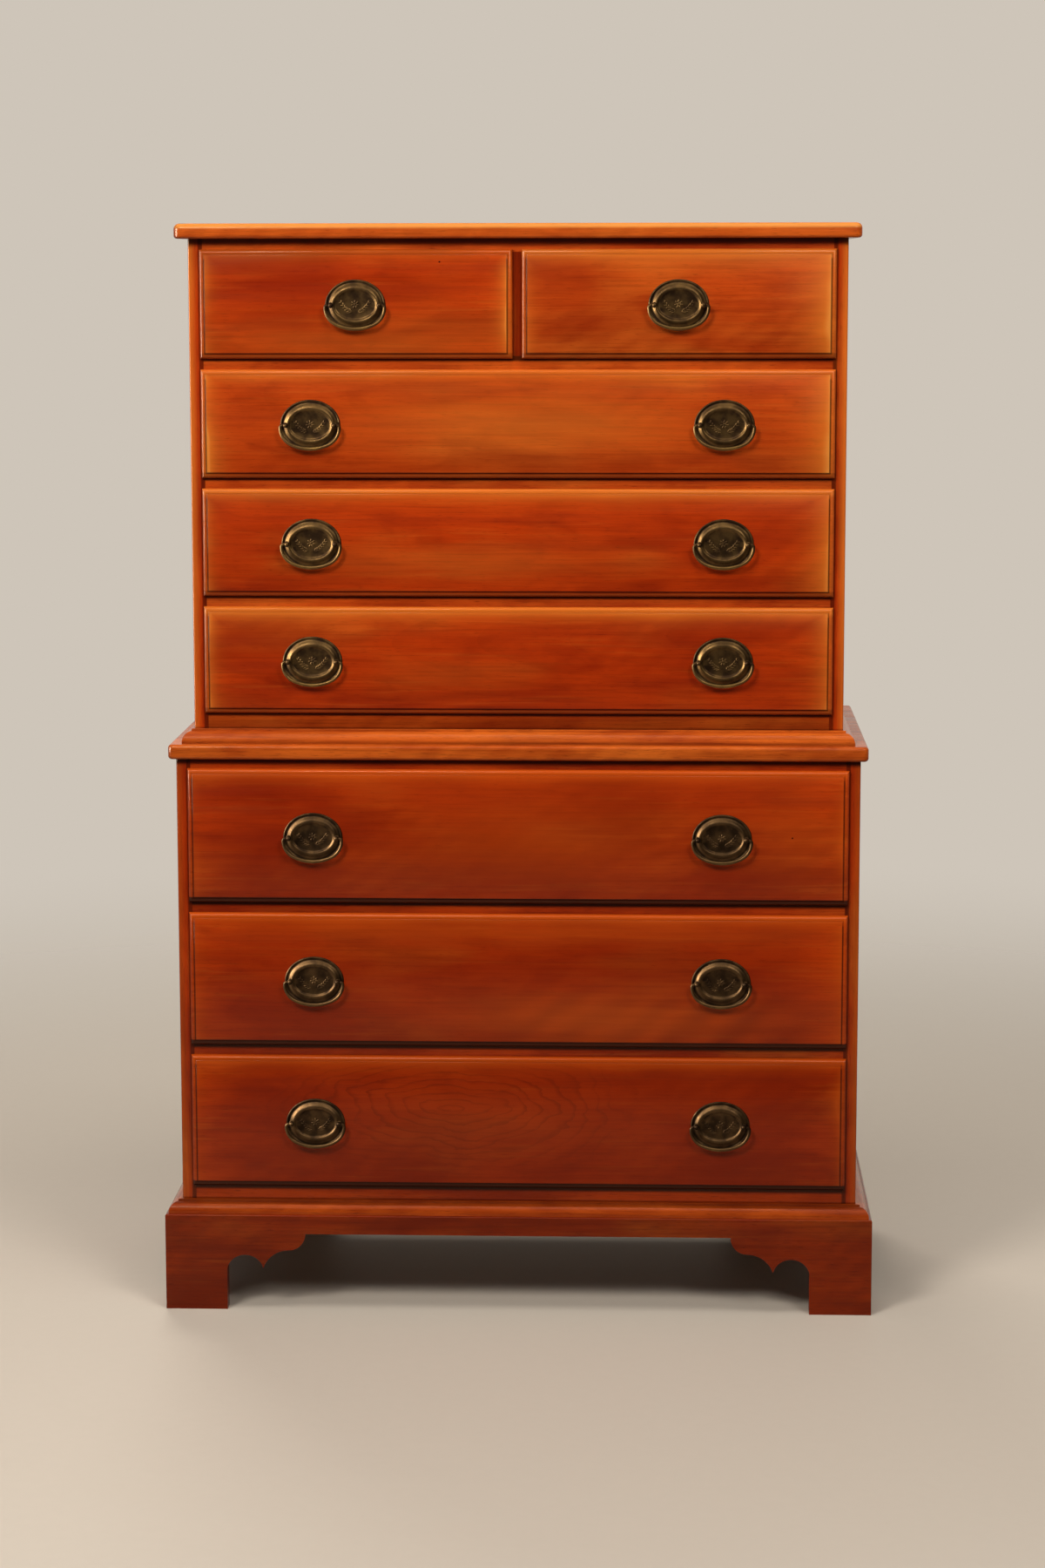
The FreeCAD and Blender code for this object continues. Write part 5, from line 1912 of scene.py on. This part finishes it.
FRONT_LOOKS = {
    Drawer.TOP_LEFT: FrontLook(
        (0.10, 0.09, 0.10), (0.5, 0.75, 0.28), paleness=0.15, darkness=0.7,
        patches=(
            Patch(-0.146, 0.05, 0.1, 0.02, -0.75), Patch(0.124, 0.024, 0.056, 0.016, -0.3),
            Patch(0.022, -0.049, 0.2, 0.028, 0.22))),
    Drawer.TOP_RIGHT: FrontLook(
        (-0.20, 0.12, -0.12), (0.35, 0.85, 0.6), paleness=0.45, darkness=0.3, pale_base=0.16,
        pale_halves=(6 * MM, 14 * MM),
        patches=(
            Patch(-0.19, 0.052, 0.067, 0.028, -0.4), Patch(-0.122, -0.027, 0.08, 0.034, -0.35),
            Patch(0.057, 0.066, 0.146, 0.014, 0.4))),
    Drawer.UPPER_FIRST: FrontLook(
        (0.30, 0.14, 0.05), (0.8, 0.95, 0.5), paleness=0.35, darkness=0.35, pale_base=0.11,
        pale_halves=(6 * MM, 14 * MM),
        patches=(Patch(0.017, 0.001, 0.16, 0.035, 0.4), Patch(-0.05, -0.055, 0.28, 0.014, -0.3))),
    Drawer.UPPER_SECOND: FrontLook(
        (-0.25, 0.10, 0.09), (0.7, 0.75, 0.7), pale_halves=(5 * MM, 10 * MM),
        patches=(Patch(-0.073, -0.025, 0.146, 0.014, 0.22), Patch(-0.3, 0.06, 0.067, 0.012, -0.4))),
    Drawer.UPPER_THIRD: FrontLook(
        (0.20, 0.08, 0.03), (0.65, 0.7, 0.7), ring_depth=0.12, pale_halves=(5 * MM, 9 * MM), toned=0.2,
        patches=(Patch(-0.343, 0.03, 0.067, 0.031, -0.6), Patch(-0.084, -0.015, 0.067, 0.016, 0.12))),
    Drawer.LOWER_FIRST: FrontLook(
        (-0.35, 0.11, -0.10), (0.2, 0.55, 0.7), paleness=0.15, darkness=0.65, toned=0.4, under_dark=0.93,
        rubbed_stain=RED_RUBBED_STAIN,
        patches=(
            Patch(0.03, -0.003, 0.135, 0.05, 0.24), Patch(-0.37, -0.03, 0.06, 0.05, -0.4),
            Patch(0.36, 0.0, 0.05, 0.05, 0.25))),
    Drawer.LOWER_SECOND: FrontLook(
        (0.15, 0.13, 0.12), (0.4, 0.6, 0.75), curl_depth=1.0, curl_spacing=40 * MM, curl_middle=0.17,
        curl_reach=0.24, curl_share=0.32, paleness=0.3, darkness=0.65, pale_halves=(7 * MM, 9 * MM),
        toned=0.44, under_dark=0.93, rubbed_stain=RED_RUBBED_STAIN,
        patches=(
            Patch(0.12, -0.046, 0.16, 0.028, 0.5), Patch(0.074, 0.02, 0.135, 0.016, -0.3),
            Patch(0.05, 0.066, 0.3, 0.012, 0.3), Patch(-0.184, -0.002, 0.045, 0.018, -0.25))),
    Drawer.LOWER_THIRD: FrontLook(
        (-0.084, 0.0, 0.018), (0.3, 0.5, 0.6), ring_depth=0.54, ring_spacing=9 * MM, ring_reach=0.11,
        paleness=0.15, darkness=0.6, toned=0.48, under_dark=0.93, rubbed_stain=RED_RUBBED_STAIN,
        patches=(Patch(-0.05, 0.0, 0.124, 0.034, 0.16), Patch(0.17, 0.04, 0.04, 0.016, -0.3))),
}


@dataclass
class Chest:
    """All drawers, with their fronts, boxes, pulls and bails."""

    brass: Material
    # A darker copy of the brass for the lower pulls: painted shade
    dull_brass: Material
    box_wood: Material
    sizes: PullSizes = field(default_factory=PullSizes)

    def front_wood(self, drawer: Drawer) -> Material:
        """Makes the finish of one drawer front.

        Args:
            drawer: the drawer.

        Returns:
            Its material.
        """
        low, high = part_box(drawer.front)
        middle = (low + high) / 2
        look = FRONT_LOOKS[drawer]
        across, behind, above = look.pith
        facts = {fact.name: getattr(look, fact.name) for fact in fields(look)}
        facts["pith"] = (middle.x + across, low.y + behind, middle.z + above)
        facts["curl_middle"] = middle.x + look.curl_middle
        facts["curl_top"] = low.z + facts.pop("curl_share") * (high.z - low.z)
        return CherryFrontFinish(
            f"cherry_{drawer.label}_front", Grain.ACROSS, middle=(middle.x, middle.z),
            half=((high.x - low.x) / 2, (high.z - low.z) / 2), quirk=DrawerFront.field_inset, **facts).make()

    def fronts(self) -> None:
        """Models one front of each size and sets a copy into each opening."""
        made: dict[tuple[float, float], tuple[Piece, Vector]] = {}
        fronts: dict[Drawer, Piece] = {}
        for drawer in Drawer:
            low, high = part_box(drawer.front)
            size = (round(high.x - low.x, 4), round(high.z - low.z, 4))
            name = f"{drawer.label}_drawer_front_lipped"
            if size in made:
                first, first_low = made[size]
                fronts[drawer] = copied(first, name, low - first_low)
            else:
                fronts[drawer] = DrawerFront(drawer, self.sizes).build()
                fronts[drawer].name = name
                made[size] = (fronts[drawer], low)
        for drawer, front in fronts.items():
            body = f"{drawer.label}_drawer"
            seat(front, body, "cherry_drawer_front", self.front_wood(drawer), drawer.front)
            dress(f"{drawer.label}_drawer_box", self.box_wood)

    def pulls(self) -> None:
        """Models one pull and one bail and sets copies on each drawer."""
        low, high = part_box(Drawer.TOP_LEFT.front)
        pull = PullPlate(self.sizes, high.y - low.y).build()
        bail = Bail(self.sizes).build()
        for drawer in Drawer:
            plates = []
            # The lower pulls get the darker copy of the brass: painted shade
            brass = self.dull_brass if drawer.chest == "lower" else self.brass
            for node in drawer.bails:
                pivot = self.sizes.middle(node)
                plates.append(copied(pull, node, pivot + Vector((0, self.sizes.standoff, 0))))
                seat(copied(bail, f"{node}_bent", pivot), node, "antique_brass", brass, node)
            plate = join(f"{drawer.label}_pull_plates", plates)
            seat(plate, f"{drawer.label}_drawer", "antique_brass", brass, f"{drawer.label}_pull_hardware")
        bpy.data.objects.remove(pull)
        bpy.data.objects.remove(bail)


# The studio


def seen_share(nodes: bpy.types.Nodes, links: bpy.types.NodeLinks) -> Socket:
    """Tells what is looked at from what only gives light.

    Args:
        nodes, links: those of a material or a world.

    Returns:
        1 for the camera's own view, also in polish, metal or glass, and 0 for light on other surfaces.
    """
    path = nodes.new("ShaderNodeLightPath")
    share = path.outputs["Is Camera Ray"]
    for ray in ("Is Glossy Ray", "Is Transmission Ray"):
        either = nodes.new("ShaderNodeMath")
        either.operation = "MAXIMUM"
        links.new(share, either.inputs[0])
        links.new(path.outputs[ray], either.inputs[1])
        share = either.outputs[0]
    return share


@dataclass
class Surround:
    """What lies round the floor: pale to the camera, a dim room behind it, and dimmer still as light."""

    pale: Colour = tone(206, 197, 185)
    # The room behind the camera, which shows in polish and metal, and where it gives way to the pale
    room: Colour = tone(66, 62, 56)
    room_fade: tuple[float, float] = (-0.25, 0.45)
    # The light that comes from all round
    light: Colour = (1, 0.96, 0.9)
    light_strength: float = 0.11

    def __post_init__(self) -> None:
        """Starts the world that is filled."""
        self.world = bpy.data.worlds.new("surround")
        self.world.use_nodes = True
        self.nodes = self.world.node_tree.nodes
        self.links = self.world.node_tree.links

    def even(self, colour: Colour, strength: float = 1.0) -> Socket:
        """Adds an even background.

        Args:
            colour: its colour.
            strength: how bright it is.

        Returns:
            The background.
        """
        node = self.nodes.new("ShaderNodeBackground")
        node.inputs["Color"].default_value = (*colour, 1)
        node.inputs["Strength"].default_value = strength
        return node.outputs[0]

    def mixed(self, share: Socket, first: Socket, second: Socket) -> Socket:
        """Mixes two backgrounds.

        Args:
            share: 0 where the first one shows and 1 where the second one does.
            first, second: the backgrounds.

        Returns:
            The mixed background.
        """
        node = self.nodes.new("ShaderNodeMixShader")
        for socket, value in zip(node.inputs, (share, first, second)):
            self.links.new(value, socket)
        return node.outputs[0]

    def build(self) -> None:
        """Fills the world and hangs it round the scene."""
        way = self.nodes.new("ShaderNodeSeparateXYZ")
        self.links.new(self.nodes.new("ShaderNodeTexCoord").outputs["Generated"], way.inputs[0])
        ahead = self.nodes.new("ShaderNodeMapRange")
        ahead.inputs["From Min"].default_value, ahead.inputs["From Max"].default_value = self.room_fade
        self.links.new(way.outputs["Y"], ahead.inputs["Value"])
        pale = self.even(self.pale)
        shown = self.mixed(ahead.outputs["Result"], self.even(self.room), pale)
        shown = self.mixed(self.nodes.new("ShaderNodeLightPath").outputs["Is Camera Ray"], shown, pale)
        light = self.even(self.light, self.light_strength)
        whole = self.mixed(seen_share(self.nodes, self.links), light, shown)
        self.links.new(whole, self.nodes["World Output"].inputs["Surface"])
        bpy.context.scene.world = self.world


@dataclass
class Floor:
    """A round pale floor that turns clear away from the object."""

    pale: Colour = Surround.pale
    grit: Colour = tone(190, 180, 168)
    grit_strength: float = 0.06
    # What the floor throws back at the object, as a duller floor would
    bounce: Colour = (0.16, 0.13, 0.1)
    radius: float = 9.0
    # How far from the middle it starts to turn clear, and where it is gone
    fade: tuple[float, float] = (1.0, 3.4)

    def build(self) -> None:
        """Models the floor and dresses it."""
        bpy.ops.object.select_all(action="DESELECT")
        bpy.ops.mesh.primitive_circle_add(vertices=96, radius=self.radius, fill_type="NGON")
        floor = named("floor")
        graph = Graph("pale_floor")
        x, y, _ = graph.parts(graph.spot)
        away = graph.sum("SQRT", graph.sum("ADD", graph.times(x, x), graph.times(y, y)))
        grit = graph.fade(graph.noise(graph.spot, 60, 4), 0.3, 0.7, 0, self.grit_strength)
        pale = graph.blend(grit, self.pale, self.grit)
        colour = graph.blend(seen_share(graph.nodes, graph.links), self.bounce, pale)
        graph.feed(graph.shader.inputs["Alpha"], graph.fade(away, *self.fade, 1, 0))
        floor.data.materials.append(graph.finish(colour, 0.6, Specular_IOR_Level=0.2))


@dataclass
class Softbox:
    """A square lamp that looks at a point."""

    name: str
    place: Triple
    target: Triple
    size: tuple[float, float]
    power: float
    # Whether the lamp lights surfaces, and whether it shows in polish and metal
    lights: bool = True
    shines: bool = True
    colour: Colour = (1.0, 0.94, 0.86)

    def build(self) -> None:
        """Sets the lamp up."""
        lamp = bpy.data.lights.new(self.name, "AREA")
        lamp.shape = "RECTANGLE"
        lamp.size, lamp.size_y = self.size
        lamp.energy = self.power
        lamp.color = self.colour
        stand = bpy.data.objects.new(self.name, lamp)
        bpy.context.scene.collection.objects.link(stand)
        stand.location = self.place
        stand.visible_diffuse = self.lights
        stand.visible_glossy = self.shines
        way = Vector(self.target) - Vector(self.place)
        stand.rotation_euler = way.to_track_quat("-Z", "Y").to_euler()


@dataclass
class Camera:
    """The camera, where the picture was taken from."""

    place: Triple = (0.184, -4.689, 1.338)
    pitch: float = math.radians(8.236)
    yaw: float = math.radians(2.264)
    roll: float = math.radians(-0.081)
    lens: float = 81.71
    sensor: float = 36.0

    def build(self) -> None:
        """Sets the camera up."""
        data = bpy.data.cameras.new("camera")
        data.lens = self.lens
        data.sensor_width = self.sensor
        data.sensor_fit = "AUTO"
        camera = bpy.data.objects.new("camera", data)
        bpy.context.scene.collection.objects.link(camera)
        turn = (
            Matrix.Rotation(self.yaw, 4, "Z")
            @ Matrix.Rotation(math.pi / 2 - self.pitch, 4, "X")
            @ Matrix.Rotation(self.roll, 4, "Z")
        )
        camera.matrix_world = Matrix.Translation(self.place) @ turn
        bpy.context.scene.camera = camera


@dataclass
class Studio:
    """A pale floor in a pale surround, soft lamps and the camera."""

    lamps: tuple[Softbox, ...] = (
        Softbox("left_lamp", (-1.7, -3.1, 3.3), (0, -0.2, 0.85), (1.1, 1.1), 88),
        Softbox("right_lamp", (1.9, -3.3, 3.2), (0, -0.2, 0.85), (1.3, 1.3), 62),
        Softbox("top_lamp", (0.2, -1.0, 4.2), (0, -0.1, 1), (1.6, 1.2), 50, shines=False),
        Softbox("left_gleam", (-2.1, -0.85, 1.25), (-0.4, -0.2, 1.15), (1.0, 1.5), 150, lights=False),
        Softbox("right_gleam", (1.6, -4.2, 1.9), (0.3, -0.2, 1.1), (0.8, 1.2), 3.5, lights=False),
        Softbox("ceiling_gleam", (0.2, -1.6, 4.0), (0, -0.2, 0.9), (2.6, 2.0), 24, lights=False),
        Softbox("rear_lamp", (-1.2, 3.6, 4.2), (0, 0.2, 0.7), (2.0, 1.6), 110, shines=False),
    )

    def build(self) -> None:
        """Sets up the floor, the surround, the lamps and the camera."""
        for piece in (Floor(), Surround(), *self.lamps, Camera()):
            piece.build()
            LOG.info("%s: set up", type(piece).__name__.lower())
        bpy.context.scene.view_settings.view_transform = "Standard"


def main() -> None:
    """Builds every sub-assembly in order."""
    logging.basicConfig(level=logging.INFO, format="%(name)s: %(message)s")
    brass = BrassFinish("antique_brass_patina", tone(44, 31, 21), tone(102, 78, 46), tone(168, 134, 70))
    # A darker copy of the brass for the lower pulls: painted shade
    dull_brass = BrassFinish("dull_brass_patina", tone(38, 27, 18), tone(88, 66, 42), tone(136, 108, 62))
    runner_wood = PaleWoodFinish("runner_wood", Grain.DEEP, tone(196, 158, 112), tone(150, 108, 66))
    box_wood = PaleWoodFinish("drawer_box_wood", Grain.ACROSS, tone(214, 166, 116), tone(172, 116, 72), True)
    panel_wood = PaleWoodFinish("back_panel_board", Grain.UPRIGHT, tone(164, 104, 66), tone(118, 68, 42))
    bright = brass.make()
    case = Case(bright, runner_wood.make(), panel_wood.make())
    case.dress()
    case.build()
    chest = Chest(bright, dull_brass.make(), box_wood.make())
    chest.fronts()
    chest.pulls()
    Studio().build()


if __name__ == "__main__":
    main()
